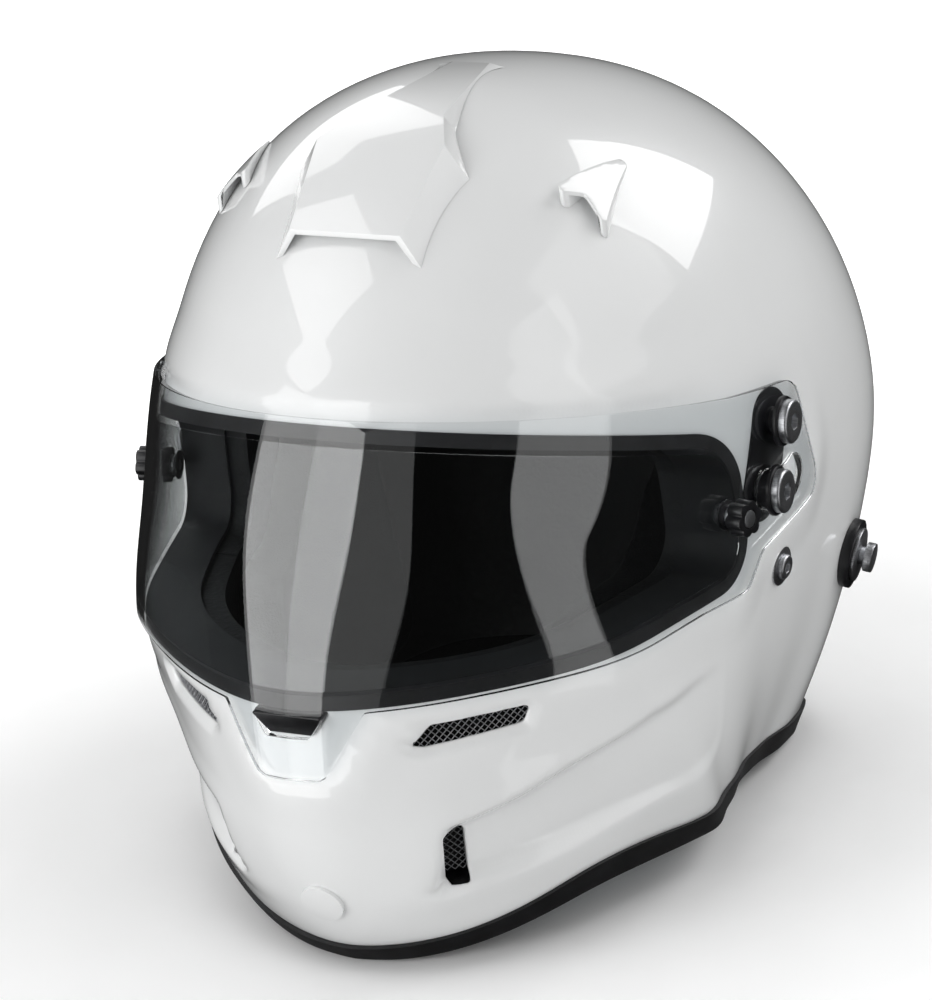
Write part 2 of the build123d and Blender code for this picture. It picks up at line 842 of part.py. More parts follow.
with BuildPart() as tear_off_post:
    with Locations(post_seat.offset(spacer_low)):
        Cylinder(post_spacer_diameter / 2, post_spacer_height, align=standing)
    with Locations(post_seat.offset(nut_top - post_nut_thickness)):
        Cylinder(post_shank_diameter / 2, cap_low - nut_top + post_nut_thickness, align=standing)
    with Locations(post_seat.offset(cap_low)):
        Cylinder(post_cap_diameter / 2, post_cap_height, align=standing)

with BuildPart() as tear_off_knob:
    with BuildSketch(post_seat.offset(knob_low)):
        Circle(knob_diameter / 2 - knob_lobe_diameter / 4)
        with PolarLocations(knob_diameter / 2 - knob_lobe_diameter / 2, knob_lobes):
            Circle(knob_lobe_diameter / 2)
    extrude(amount=knob_height)
    with Locations(post_seat.offset(cap_low - shaft_gap)):
        Cylinder(post_cap_diameter / 2 + seat_gap, clear_out, align=standing, mode=Mode.SUBTRACT)
    with Locations(post_seat):
        Cylinder(post_hole / 2, span, mode=Mode.SUBTRACT)

write_pair(tear_off_nut, "tear_off_nut")
write_pair(tear_off_post, "tear_off_post")
write_pair(tear_off_knob, "tear_off_knob")

# Visor catch: a sprung plunger in a housing behind the shell
catch_slope = Vector(0, catch_low_rise - catch_top_rise, catch_height)
catch_low_front = catch_seat.origin + Vector(0, -visor_gap - catch_low_rise, -catch_height / 2)


def catch_run(grow, low, high):
    """Outline of the catch, grown and run between two heights over the shell."""
    with BuildPart() as run:
        with BuildSketch(catch_seat.offset(low)):
            with BuildLine():
                FilletPolyline(*catch_corners, radius=catch_edge, close=True)
            make_face()
            if grow:
                offset(amount=grow)
        extrude(amount=high - low)
    return run.part


flange_low = -shell_wall - catch_stem_length
cavity_low = flange_low - catch_travel - 2 * seat_gap

with BuildPart() as visor_catch:
    add(catch_run(0, flange_low, clear_out))
    split(bisect_by=Plane(catch_low_front, x_dir=(1, 0, 0),
                          z_dir=(0, -catch_slope.Z, catch_slope.Y)), keep=Keep.BOTTOM)
    add(catch_run(catch_flange, flange_low, flange_low + catch_flange_thickness))

with BuildPart() as catch_housing:
    add(catch_run(catch_flange + slide_gap + housing_wall, cavity_low - housing_wall, 0)
        & left_half)
    add([catch_run(catch_flange + slide_gap, cavity_low, clear_out), fitted_outside],
        mode=Mode.SUBTRACT)
    mirror(about=Plane.YZ)

write(visor_catch, "visor_catch")
write(catch_housing, "catch_housing")

# Chin cap
with BuildPart() as chin_cap:
    with Locations(cap_seat.offset(cap_rise)):
        Cylinder(cap_diameter / 2, cap_rise + shell_wall / 2, align=hanging)
    add([seat_form, mirror(seat_form, about=Plane.YZ, mode=Mode.PRIVATE)], mode=Mode.SUBTRACT)
    with Locations(cap_seat):
        Cylinder(cap_stem_diameter / 2, cap_stem_length, align=hanging)

write(chin_cap, "chin_cap")

# Head restraint posts: base, bright ring, headed post and inner nut
ring_low = restraint_base_height
neck_low = ring_low + restraint_ring_height
neck_top = neck_low + restraint_neck_height

with BuildPart() as restraint_base:
    with Locations(restraint_seat.offset(restraint_base_height)):
        Cylinder(restraint_base_diameter / 2, 2 * restraint_base_height, align=hanging)
        Cylinder(restraint_shank_diameter / 2 + shaft_gap, span, mode=Mode.SUBTRACT)
    add(seat_form, mode=Mode.SUBTRACT)

with BuildPart() as restraint_ring:
    with Locations(restraint_seat.offset(ring_low)):
        Cylinder(restraint_ring_diameter / 2, restraint_ring_height, align=standing)
        Cylinder(restraint_shank_diameter / 2 + shaft_gap, span, mode=Mode.SUBTRACT)

with BuildPart() as restraint_post:
    with Locations(restraint_seat.offset(neck_low)):
        Cylinder(restraint_neck_diameter / 2, restraint_neck_height, align=standing)
        Cylinder(restraint_shank_diameter / 2, neck_low + restraint_shank_length, align=hanging)
    with Locations(restraint_seat.offset(neck_top)):
        Cylinder(restraint_head_diameter / 2, restraint_head_height, align=standing)

with BuildPart() as restraint_nut:
    with Locations(restraint_seat):
        Cylinder(restraint_nut_diameter / 2, shell_wall + restraint_nut_thickness, align=hanging)
        Cylinder(restraint_shank_diameter / 2 + shaft_gap, span, mode=Mode.SUBTRACT)
    add(fitted_outside, mode=Mode.SUBTRACT)

write_pair(restraint_base, "restraint_base")
write_pair(restraint_ring, "restraint_ring")
write_pair(restraint_post, "restraint_post")
write_pair(restraint_nut, "restraint_nut")

# Chin straps with their outer washers and screws
with BuildPart() as strap_washer:
    with Locations(strap_seat.offset(strap_dish_height)):
        Cylinder(strap_dish_diameter / 2, strap_dish_height + shell_wall / 2, align=hanging)
        Cylinder(strap_shank_diameter / 2 + shaft_gap, span, mode=Mode.SUBTRACT)
    add(seat_form, mode=Mode.SUBTRACT)

strap_screw = make_screw(
    strap_seat.offset(strap_dish_height), strap_head_diameter, strap_head_height,
    strap_head_height / 2, strap_shank_diameter, strap_shank_length, strap_head_diameter / 2,
)
strap_plane = Plane((0, strap_y, 0), x_dir=(1, 0, 0), z_dir=(0, -1, 0))


def wall_x(z, inset):
    """How far out the strap lies at a height, a set distance inside the shell."""
    return skin_plane((0, strap_y, z), (1, 0, 0)).origin.X - inset


def strap_points(end_x):
    """Route of a strap: down the shell wall, round under the pad and inwards."""
    wall = [(wall_x(z, strap_inset), z) for z in [strap_top_z] + strap_wall_heights]
    turn = [(wall_x(strap_turn_z, strap_turn_inset), strap_turn_z), (strap_low_x, strap_low_z)]
    return wall + turn + [(end_x, strap_rest_z)]


def strap_run(end_x, play):
    """Webbing along its route, thicker and wider all round by play."""
    with BuildPart() as run:
        with BuildSketch(strap_plane):
            with BuildLine():
                FilletPolyline(*strap_points(end_x), radius=strap_bend)
                offset(amount=strap_thickness / 2 + play, side=Side.BOTH)
            make_face()
        extrude(amount=strap_width / 2 + play, both=True)
    return run.part


loop_inner = ring_wire / 2 + ring_gap
loop_outer = loop_inner + strap_thickness
loop_z = strap_rest_z - strap_thickness / 2 + loop_outer
strap_bore = rod(strap_seat, strap_shank_diameter + 2 * shaft_gap, -clear_out, clear_out)

with BuildPart() as strap_left:
    add(strap_run(strap_left_end_x, 0))
    with BuildSketch(strap_plane):
        with Locations((strap_left_end_x - ring_pitch / 2, loop_z)):
            SlotCenterToCenter(ring_pitch, 2 * loop_outer)
    extrude(amount=strap_width / 2, both=True)
    with BuildSketch(strap_plane):
        with Locations((strap_left_end_x - ring_pitch / 2, loop_z)):
            SlotCenterToCenter(ring_pitch, 2 * loop_inner)
    extrude(amount=strap_width / 2, both=True, mode=Mode.SUBTRACT)
    add(strap_bore, mode=Mode.SUBTRACT)

with BuildPart() as strap_right:
    add(mirror(strap_run(strap_right_end_x, 0), about=Plane.YZ))
    add(mirror(strap_bore, about=Plane.YZ), mode=Mode.SUBTRACT)


def make_ring(x):
    """D shaped strap ring that hangs from its straight bar."""
    middle = Vector(x, strap_y, loop_z)
    with BuildPart() as ring:
        with BuildSketch(Plane(middle, x_dir=(0, 1, 0), z_dir=(0, 0, 1))):
            with Locations((ring_radius, 0)):
                Circle(ring_wire / 2)
        revolve(axis=Axis(middle, (-1, 0, 0)), revolution_arc=180)
        with Locations(Plane(middle, x_dir=(1, 0, 0), z_dir=(0, 1, 0))):
            Cylinder(ring_wire / 2, 2 * ring_radius)
            with Locations((0, 0, ring_radius), (0, 0, -ring_radius)):
                Sphere(ring_wire / 2)
    return ring


strap_ring_near = make_ring(strap_left_end_x)
strap_ring_far = make_ring(strap_left_end_x - ring_pitch)

write_pair(strap_washer, "strap_washer")
write_pair(strap_screw, "strap_screw")
write(strap_left, "strap_left")
write(strap_right, "strap_right")
write(strap_ring_near, "strap_ring_near")
write(strap_ring_far, "strap_ring_far")

# Energy absorbing liner, in a crown and a chin piece, with pockets for fittings
liner_outer = -shell_wall - seat_gap
liner_inner = -shell_wall - liner_thickness
chin_zone = block((-span, -span, -span), (span, liner_split_y, liner_split_z))
chin_zone_grown = block(
    (-span, -span, -span), (span, liner_split_y + seat_gap, liner_split_z + seat_gap)
)
liner_layer = (
    layer(close_surface(liner_outer), deep_surface(liner_inner)) & above_rim(liner_up)
) - side_run(port_shares, seat_gap)

jaw_pocket = band(0, -jaw_pocket_depth) & side_run(jaw_shares, seat_gap) & left_half

with BuildPart() as liner_crown:
    add(liner_layer - chin_zone_grown)
    add([jaw_pocket, figure_run(backing_radius + seat_gap, clear_out, clear_out),
         rod(restraint_seat, restraint_nut_diameter + 2 * seat_gap, -clear_out, 0),
         strap_run(strap_left_end_x, strap_play),
         rod(strap_seat, strap_head_diameter, -clear_out, 0),
         rear_vent(mesh_overlap + seat_gap)], mode=Mode.SUBTRACT)
    mirror(about=Plane.YZ)

with BuildPart() as liner_chin:
    add(liner_layer & chin_zone)
    add([jaw_pocket, chin_vent(mesh_overlap + seat_gap),
         catch_run(catch_flange + slide_gap + housing_wall + seat_gap,
                   cavity_low - housing_wall - seat_gap, clear_out),
         rod(cap_seat, cap_stem_diameter + 2 * seat_gap, -clear_out, clear_out)],
        mode=Mode.SUBTRACT)
    mirror(about=Plane.YZ)

write(liner_crown, "liner_crown")
write(liner_chin, "liner_chin")

# Comfort pads and edge rolls
pad_outer = liner_inner - seat_gap
crown_zone = block((-span, -span, crown_pad_low_z), (span, span, span))
cheek_zone = side_run(cheek_shares) & left_half
roll_zone = rim_strip(seat_gap, liner_up - seat_gap)
crown_channel = slot_run(
    Plane.XY.offset(shell_height),
    [(-crown_channel_width / 2, crown_channel_front), (crown_channel_width / 2, crown_channel_front),
     (crown_channel_width / 2, crown_channel_back), (-crown_channel_width / 2, crown_channel_back)],
    crown_channel_width / 4, 0, shell_height / 2,
)

with BuildPart() as crown_pad:
    add(layer(deep_surface(pad_outer), deep_surface(pad_outer - crown_pad_thickness))
        & crown_zone)
    add(side_run(port_shares, crown_pad_border), mode=Mode.SUBTRACT)
    middle = (crown_channel_count - 1) / 2
    add([crown_channel.moved(Location(((i - middle) * crown_channel_pitch, 0, 0)))
         for i in range(crown_channel_count)], mode=Mode.SUBTRACT)
    mirror(about=Plane.YZ)

with BuildPart() as cheek_pad:
    add(layer(deep_surface(pad_outer), (pad_outer - cheek_pad_thickness,
                                        pad_outer - crown_pad_thickness, steepest_inner_share))
        & cheek_zone)

roll_form = layer(close_surface(-shell_wall - trim_wall - seat_gap),
                  deep_surface(-shell_wall - roll_thickness)) & roll_zone

with BuildPart() as neck_roll:
    add(roll_form & block((0, neck_roll_y, 0), (span, span, span)))
    mirror(about=Plane.YZ)

with BuildPart() as chin_roll:
    add(roll_form & block((0, -span, 0), (span, chin_roll_y, span)))
    mirror(about=Plane.YZ)

write(crown_pad, "crown_pad")
write_pair(cheek_pad, "cheek_pad")
write(neck_roll, "neck_roll")
write(chin_roll, "chin_roll")
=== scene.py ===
"""Full face auto racing helmet: smooth skins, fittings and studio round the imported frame.

Sizes are metres. The face looks to -Y, the wearer's left is +X and up is +Z.
"""
import math

import bmesh
import bpy
import numpy as np
from bpy.props import FloatProperty, FloatVectorProperty, PointerProperty
from mathutils import Matrix, Vector
from mathutils.bvhtree import BVHTree


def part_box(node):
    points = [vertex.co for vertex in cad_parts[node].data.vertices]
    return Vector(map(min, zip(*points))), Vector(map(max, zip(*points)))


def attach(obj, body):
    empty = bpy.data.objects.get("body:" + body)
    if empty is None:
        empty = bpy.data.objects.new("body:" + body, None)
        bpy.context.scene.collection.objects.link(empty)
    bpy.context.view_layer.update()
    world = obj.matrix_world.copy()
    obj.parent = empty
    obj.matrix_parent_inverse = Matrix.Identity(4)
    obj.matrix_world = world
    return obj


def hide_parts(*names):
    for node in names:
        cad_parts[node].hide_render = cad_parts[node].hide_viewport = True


bl_info = {
    "name": "Racing helmet",
    "version": (1, 0, 0),
    "blender": (4, 5, 0),
    "location": "3D View > Sidebar > Helmet",
    "description": "Builds a full face auto racing helmet round its packed CAD frame",
    "category": "Add Mesh",
}

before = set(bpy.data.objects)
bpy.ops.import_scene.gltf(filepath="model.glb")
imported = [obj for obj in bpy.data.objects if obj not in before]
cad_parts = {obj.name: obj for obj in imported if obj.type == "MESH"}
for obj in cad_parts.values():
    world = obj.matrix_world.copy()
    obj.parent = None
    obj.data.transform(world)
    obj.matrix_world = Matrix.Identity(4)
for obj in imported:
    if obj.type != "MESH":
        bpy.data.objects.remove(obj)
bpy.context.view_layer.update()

SIDES = ("left", "right")

# The shell's arches, as in the CAD source: y and z of the crown as shares of the
# length and height, half width as a share of the width, where it is widest, roundness
LENGTH, HEIGHT, WIDTH = 0.330, 0.286, 0.242
ARCHES = (
    (-0.279, -0.101, 0.248, 0.050, 1.72),
    (-0.427, 0.014, 0.289, 0.130, 1.74),
    (-0.485, 0.147, 0.329, 0.200, 1.78),
    (-0.495, 0.294, 0.360, 0.260, 1.82),
    (-0.474, 0.437, 0.388, 0.320, 1.87),
    (-0.427, 0.577, 0.432, 0.385, 1.97),
    (-0.355, 0.727, 0.444, 0.410, 2.02),
    (-0.235, 0.892, 0.465, 0.450, 2.09),
    (-0.056, 0.988, 0.488, 0.520, 2.16),
    (0.141, 0.984, 0.500, 0.560, 2.19),
    (0.333, 0.900, 0.496, 0.580, 2.19),
    (0.467, 0.720, 0.479, 0.600, 2.17),
    (0.497, 0.507, 0.436, 0.600, 2.18),
    (0.442, 0.311, 0.382, 0.460, 2.17),
    (0.370, 0.136, 0.347, 0.280, 2.15),
    (0.285, -0.070, 0.312, 0.090, 2.12),
)
FAN = Vector((0.015 * LENGTH, -0.189 * HEIGHT))
FAN_REACH = 0.140 * HEIGHT
TUCK = 0.572
LOW_STEPS, HIGH_STEPS = 3, 6
STEEPEST = 0.45

# Side view outlines: y as a share of the length, z of the height, corner radius
RIM = ((-0.515, 0.007), (-0.442, 0.007), (-0.388, 0.028), (-0.303, 0.068), (-0.188, 0.066),
       (-0.045, 0.055), (0.121, 0.028), (0.273, 0.010), (0.364, 0.007), (0.515, 0.007))
PORT = ((-0.606, 0.797, 0), (-0.082, 0.579, 0.067), (-0.082, 0.404, 0.045), (-0.606, 0.404, 0))
VISOR = ((-0.606, 0.790, 0), (-0.367, 0.722, 0.300), (-0.070, 0.635, 0), (0.052, 0.607, 0.039),
         (0.097, 0.434, 0.027), (-0.054, 0.417, 0.021), (-0.088, 0.378, 0.018),
         (-0.167, 0.386, 0), (-0.606, 0.393, 0))
JAW = ((-0.438, 0.215, 0.012), (-0.376, 0.236, 0.050), (-0.252, 0.294, 0.050),
       (-0.112, 0.297, 0.020), (-0.112, 0.168, 0.030), (-0.229, 0.156, 0.050),
       (-0.405, 0.124, 0.012), (-0.438, 0.112, 0.008))
# Front view outline of the visor's tab, and of the catch in it
TAB = ((-0.0305, 0.1165, 0), (-0.013, 0.0875, 0.005), (0.013, 0.0875, 0.005),
       (0.0305, 0.1165, 0))
CATCH = ((-0.0085, 0.1033, 0.0006), (0.0085, 0.1033, 0.0006), (0.014, 0.1115, 0.0006),
         (-0.014, 0.1115, 0.0006))
# Vents, in the plane that each lies in
CHIN_VENT = ((-0.0222, -0.004, 0.0012), (-0.0134, 0.0036, 0.0012), (0.0227, 0.0035, 0.0012),
             (0.0195, -0.0025, 0.0012))
JAW_VENT = ((-0.004, -0.011, 0.0015), (0.004, -0.011, 0.0015), (0.004, 0.011, 0.0015),
            (-0.004, 0.011, 0.0015))
REAR_VENT = ((-0.017, -0.004, 0.0012), (0.017, -0.004, 0.0012), (0.017, 0.004, 0.0012),
             (-0.017, 0.004, 0.0012))

SHELL_WALL = 0.003
VISOR_OUTER = 0.0048
VISOR_THICK = 0.0028
VISOR_FLAT_X = 0.1242
FILM_OUTER = 0.0018
FILM_THICK = 0.0006
PIVOT = (0.001, 0.163)
GUIDE = (-0.011, 0.1407)
SWING = 44.0
SLOT_SPARE = 2.0
SLOT_HALF_WIDTH = 0.0075
PIVOT_HOLE_RADIUS = 0.0051
POST = (-0.0355, 0.1412)
POST_HOLE_RADIUS = 0.0021
POST_INSIDE = (-0.0345, 0.1410)
FILM_HOLE_RADIUS = 0.0059
FILM_MARGIN = 0.0035

# Each pair of distances is where a rise or a fade starts and where it is over
RIDGE_RISE = (0.0008, 0.0042)
RIDGE_FADE = (0.005, 0.024)
RIDGE_PAST_PIVOT = (0.030, 0.050)
JAW_REAR_Y = -0.035
JAW_FADE_LENGTH = 0.108
JAW_WALL = (-0.0012, 0.0052)
JAW_BEAD_HEIGHT = 0.0008
JAW_BEAD_RISE = (-0.012, -0.001)
JAW_BEAD_FALL = (-0.001, 0.003)
CHIN_FUNNEL_DEPTH, CHIN_FUNNEL = 0.0022, (0.0004, 0.0042)
REAR_FUNNEL_DEPTH, REAR_FUNNEL = 0.0016, (0.0004, 0.0040)

# Camera fitted to the photograph: the height it aims at, its angles in degrees, its
# distance, and its focal length and optical middle in pixels of the photograph
CAMERA_AIM_HEIGHT = 0.1691
CAMERA_AZIMUTH, CAMERA_ELEVATION, CAMERA_ROLL = 28.4, 22.0, -6.9
CAMERA_DISTANCE = 1.649
PHOTO_WIDTH, PHOTO_HEIGHT = 932, 1000
FOCAL_PIXELS = 4406.9
MIDDLE_PIXEL = (471.2, 381.8)
SENSOR_HEIGHT = 36.0


def curve_through(knots, values, at):
    """A curve of even bend through the values at the knots, read at other places."""
    count = len(knots)
    gaps = np.diff(knots)
    slopes = np.diff(values, axis=0) / gaps[:, None]
    matrix = np.eye(count)
    pull = np.zeros_like(values)
    for i in range(1, count - 1):
        matrix[i, i - 1:i + 2] = gaps[i - 1], 2 * (gaps[i - 1] + gaps[i]), gaps[i]
        pull[i] = 6 * (slopes[i] - slopes[i - 1])
    bend = np.linalg.solve(matrix, pull)
    k = np.clip(np.searchsorted(knots, at) - 1, 0, count - 2)
    width = gaps[k][:, None]
    b = ((at - knots[k]) / gaps[k])[:, None]
    a = 1 - b
    sag = ((a ** 3 - a) * bend[k] + (b ** 3 - b) * bend[k + 1]) * width ** 2 / 6
    return a * values[k] + b * values[k + 1] + sag


def half_arch(index, side, top):
    """Across and up of one arch's left half, from foot to crown, moved out."""
    places = [Vector((row[0] * LENGTH, row[1] * HEIGHT)) for row in ARCHES]
    _, _, half, widest, roundness = ARCHES[index]
    half *= WIDTH
    here = places[index]
    along = (places[min(index + 1, len(ARCHES) - 1)] - places[max(index - 1, 0)]).normalized()
    upright = (here - FAN).normalized()
    slant = max(abs(upright.x * along.y - upright.y * along.x), STEEPEST)
    reach = (here - FAN).length
    widest_at = FAN_REACH + widest * (reach - FAN_REACH)
    half += side
    reach += top / slant
    points = []
    for step in range(LOW_STEPS):
        drop = (widest_at - FAN_REACH) * (1 - step / LOW_STEPS)
        narrowing = TUCK * drop * drop / (widest_at - FAN_REACH) / HEIGHT
        points.append((half * (1 - narrowing), widest_at - drop))
    for step in range(HIGH_STEPS):
        turn = math.radians(90 * step / HIGH_STEPS)
        points.append((half * math.cos(turn) ** (2 / roundness),
                       widest_at + (reach - widest_at) * math.sin(turn) ** (2 / roundness)))
    return points + [(0.0, reach)]


def running(points):
    """Length run along a row of points, from its first one."""
    steps = np.linalg.norm(np.diff(np.array(points), axis=0), axis=1)
    return np.concatenate([[0.0], np.cumsum(steps)])


CREST = running([(row[0] * LENGTH, row[1] * HEIGHT) for row in ARCHES])
FOOT_TO_CROWN = running(half_arch(len(ARCHES) // 2, 0, 0))
FOOT_TO_CROWN = FOOT_TO_CROWN / FOOT_TO_CROWN[-1]


def surface(rows, columns, out):
    """Places on the left of the helmet, out from the shell, for arches and shares up."""
    knots = np.concatenate([FOOT_TO_CROWN, 2 - FOOT_TO_CROWN[-2::-1]])
    stations = []
    for index, row in enumerate(ARCHES):
        half = half_arch(index, out, out)
        full = np.array(half + [(-x, up) for x, up in half[-2::-1]])
        flat = curve_through(knots, full, columns)
        upright = (Vector((row[0] * LENGTH, row[1] * HEIGHT)) - FAN).normalized()
        stations.append(np.stack([flat[:, 0], FAN.x + upright.x * flat[:, 1],
                                  FAN.y + upright.y * flat[:, 1]], axis=1))
    stations = np.array(stations)
    at = np.interp(rows, np.arange(len(ARCHES)), CREST)
    smooth = curve_through(CREST, stations.reshape(len(ARCHES), -1), at)
    return smooth.reshape(len(rows), len(columns), 3)


def spaced(*stretches):
    """Row or column places from stretches of start, end and count."""
    parts = [np.linspace(low, high, count, endpoint=False) for low, high, count in stretches]
    return np.concatenate(parts + [[stretches[-1][1]]])


def skin(rows, columns, out, shape=None):
    """Left half of a skin that lies out from the shell, shaped by a height field."""
    places = surface(rows, columns, out)
    normals = np.cross(np.gradient(places, axis=0), np.gradient(places, axis=1))
    normals[:, -1, 0] = 0
    normals /= np.linalg.norm(normals, axis=2, keepdims=True)
    if normals[len(rows) // 2, 0, 0] < 0:
        normals = -normals
    if shape:
        heights = shape(places.reshape(-1, 3)).reshape(len(rows), len(columns), 1)
        places = places + normals * heights
    bm = bmesh.new()
    bmesh.ops.create_grid(bm, x_segments=len(columns) - 1, y_segments=len(rows) - 1, size=1)
    for vert in bm.verts:
        row = round((vert.co.y + 1) / 2 * (len(rows) - 1))
        column = round((vert.co.x + 1) / 2 * (len(columns) - 1))
        vert.co = places[row, column]
    bm.normal_update()
    bm.faces.ensure_lookup_table()
    middle = bm.faces[len(bm.faces) // 2]
    if middle.normal.x < 0:
        bmesh.ops.reverse_faces(bm, faces=bm.faces)
        bm.normal_update()
    return bm


def rounded(corners):
    """Closed outline with its corners rounded by arcs."""
    outline = []
    for i, (x, y, radius) in enumerate(corners):
        corner = Vector((x, y))
        before = (Vector(corners[i - 1][:2]) - corner).normalized()
        after = (Vector(corners[(i + 1) % len(corners)][:2]) - corner).normalized()
        half = before.angle(after) / 2
        if radius == 0 or half > math.radians(89.9):
            outline.append(corner)
            continue
        middle = corner + (before + after).normalized() * radius / math.sin(half)
        start = corner + before * radius / math.tan(half) - middle
        end = corner + after * radius / math.tan(half) - middle
        turn = start.angle_signed(end)
        for step in range(9):
            arm = start.copy()
            arm.rotate(Matrix.Rotation(-turn * step / 8, 2))
            outline.append(middle + arm)
    return np.array(outline)


def outside(outline, flat):
    """Distance from flat places to an outline, negative inside it."""
    ends = np.roll(outline, -1, axis=0)
    nearest = np.full(len(flat), np.inf)
    crossings = np.zeros(len(flat), dtype=int)
    for start, end in zip(outline, ends):
        way = end - start
        if not way.any():
            continue
        share = np.clip((flat - start) @ way / (way @ way), 0, 1)
        nearest = np.minimum(nearest, np.linalg.norm(flat - start - share[:, None] * way, axis=1))
        spans = (start[1] > flat[:, 1]) != (end[1] > flat[:, 1])
        if start[1] != end[1]:
            at = start[0] + (flat[:, 1] - start[1]) * way[0] / way[1]
            crossings += spans & (flat[:, 0] < at)
    return np.where(crossings % 2 == 1, -nearest, nearest)


def side_shape(shares):
    """A side view outline in metres."""
    return rounded([(y * LENGTH, z * HEIGHT, radius * LENGTH) for y, z, radius in shares])


def beyond_side(outline):
    """Field outside a side view outline."""
    return lambda places: outside(outline, places[:, 1:])


def beyond_front(outline):
    """Field outside a front view outline, in the front half only."""
    def field(places):
        flat = np.stack([np.abs(places[:, 0]), places[:, 2]], axis=1)
        return np.where(places[:, 1] < -0.1, outside(outline, flat), 1.0)
    return field


def beyond_vent(outline, place, turn):
    """Field outside a vent whose plane is upright and faces forward, turned outward."""
    across = np.array([math.cos(turn), math.sin(turn), 0])
    facing = np.array([math.sin(turn), -math.cos(turn), 0])

    def field(places):
        local = places - np.array(place)
        flat = np.stack([local @ across, local[:, 2]], axis=1)
        return np.where(local @ facing > -0.02, outside(outline, flat), 1.0)
    return field


def step_between(low, high, values):
    """Smooth rise from 0 to 1 between two values."""
    share = np.clip((values - low) / (high - low), 0, 1)
    return share * share * (3 - 2 * share)


rim_y = np.array([y * LENGTH for y, _ in RIM])
rim_z = np.array([[z * HEIGHT] for _, z in RIM])


def above_rim(places):
    """Field above the shell's lower edge."""
    return places[:, 2] - curve_through(rim_y, rim_z, places[:, 1])[:, 0]


port_field = beyond_side(side_shape(PORT))
visor_side_field = beyond_side(side_shape(VISOR))
tab_field = beyond_front(rounded(TAB))
catch_field = beyond_front(rounded(CATCH))
jaw_field = beyond_side(side_shape(JAW))
chin_vent_field = beyond_vent(rounded(CHIN_VENT), (0.057, -0.1365, 0.098), math.radians(39.4))
jaw_vent_field = beyond_vent(rounded(JAW_VENT), (0.0465, -0.139, 0.047), math.radians(34))
rear_vent_field = beyond_vent(rounded(REAR_VENT), (0.036, 0.152, 0.112), math.radians(194))


def beyond_visor(places):
    """Field outside the visor's whole outline, tab and sides together."""
    return np.minimum(visor_side_field(places), tab_field(places))


def cut(bm, field, level=0.0):
    """Cut a skin where a field is at a level and drop the lower side."""
    verts = list(bm.verts)
    height = dict(zip(verts, field(np.array([v.co for v in verts])) - level))
    for near, far in (e.verts for e in bm.edges):
        for a, b in ((near, far), (far, near)):
            if height[a] * height[b] < 0:
                share = height[a] / (height[a] - height[b])
                if share < 0.2:
                    a.co = a.co.lerp(b.co, share)
                    height[a] = 0.0
    for edge in list(bm.edges):
        a, b = edge.verts
        if height[a] * height[b] < 0:
            _, new = bmesh.utils.edge_split(edge, a, height[a] / (height[a] - height[b]))
            height[new] = 0.0
    edge_line = [v for v in bm.verts if height[v] == 0]
    bmesh.ops.connect_verts(bm, verts=edge_line)
    low = [f for f in bm.faces if sum(height[v] for v in f.verts) < 0]
    flat = [f for f in bm.faces if all(height[v] == 0 for v in f.verts)]
    for face in flat:
        middle = np.array([face.calc_center_median()])
        if field(middle)[0] < level:
            low.append(face)
    bmesh.ops.delete(bm, geom=list(set(low)), context="FACES")
    return [v for v in edge_line if v.is_valid]


def turn_edge(bm, edge_line, radius, depth, segments=3):
    """Round the edge of a cut over its radius and run a wall inward from it."""
    bm.normal_update()
    line = set(edge_line)
    edges = [e for e in bm.edges
             if len(e.link_faces) == 1 and e.verts[0] in line and e.verts[1] in line]
    ways = {}
    for vert in {v for e in edges for v in e.verts}:
        out = Vector()
        for edge in vert.link_edges:
            if len(edge.link_faces) == 1 and edge.verts[0] in line and edge.verts[1] in line:
                along = edge.verts[1].co - edge.verts[0].co
                away = along.cross(vert.normal).normalized()
                to_face = edge.link_faces[0].calc_center_median() - edge.verts[0].co
                out += -away if away.dot(to_face) > 0 else away
        ways[vert] = (vert.co.copy(), vert.normal.copy(), out.normalized())
    for step in range(1, segments + 2):
        made = bmesh.ops.extrude_edge_only(bm, edges=edges)["geom"]
        edges = [g for g in made if isinstance(g, bmesh.types.BMEdge)]
        moved = {}
        for vert in (g for g in made if isinstance(g, bmesh.types.BMVert)):
            source = next(e.other_vert(vert) for e in vert.link_edges
                          if e.other_vert(vert) in ways)
            start, normal, out = ways[source]
            turn = math.radians(90 * min(step, segments) / segments)
            sink = depth if step > segments else radius * (1 - math.cos(turn))
            vert.co = start + out * radius * math.sin(turn) - normal * sink
            moved[vert] = ways[source]
        edges = [e for e in edges if e.verts[0] in moved and e.verts[1] in moved]
        ways = moved


def mirror_over(bm):
    """Add the right half and join it along the middle."""
    for vert in bm.verts:
        if abs(vert.co.x) < 2e-6:
            vert.co.x = 0
    bmesh.ops.mirror(bm, geom=bm.verts[:] + bm.edges[:] + bm.faces[:], axis="X",
                     merge_dist=1e-5)
    turned = [face for face in bm.faces if face.calc_center_median().x < 0]
    bmesh.ops.reverse_faces(bm, faces=turned)


def sharpen(bm, degrees):
    """Shade smoothly, with hard lines where faces meet at more than an angle."""
    limit = math.radians(degrees)
    for face in bm.faces:
        face.smooth = True
    for edge in bm.edges:
        edge.smooth = not (len(edge.link_faces) == 2 and edge.calc_face_angle(0) > limit)


def add_piece(bm, name, material, body, replaced=(), sharp=35):
    """Turn a mesh in the making into a named piece that rides on a body."""
    sharpen(bm, sharp)
    mesh = bpy.data.meshes.new(name)
    bm.to_mesh(mesh)
    bm.free()
    piece = bpy.data.objects.new(name, mesh)
    bpy.context.scene.collection.objects.link(piece)
    mesh.materials.append(material)
    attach(piece, body)
    if replaced:
        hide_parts(*replaced)
    return piece


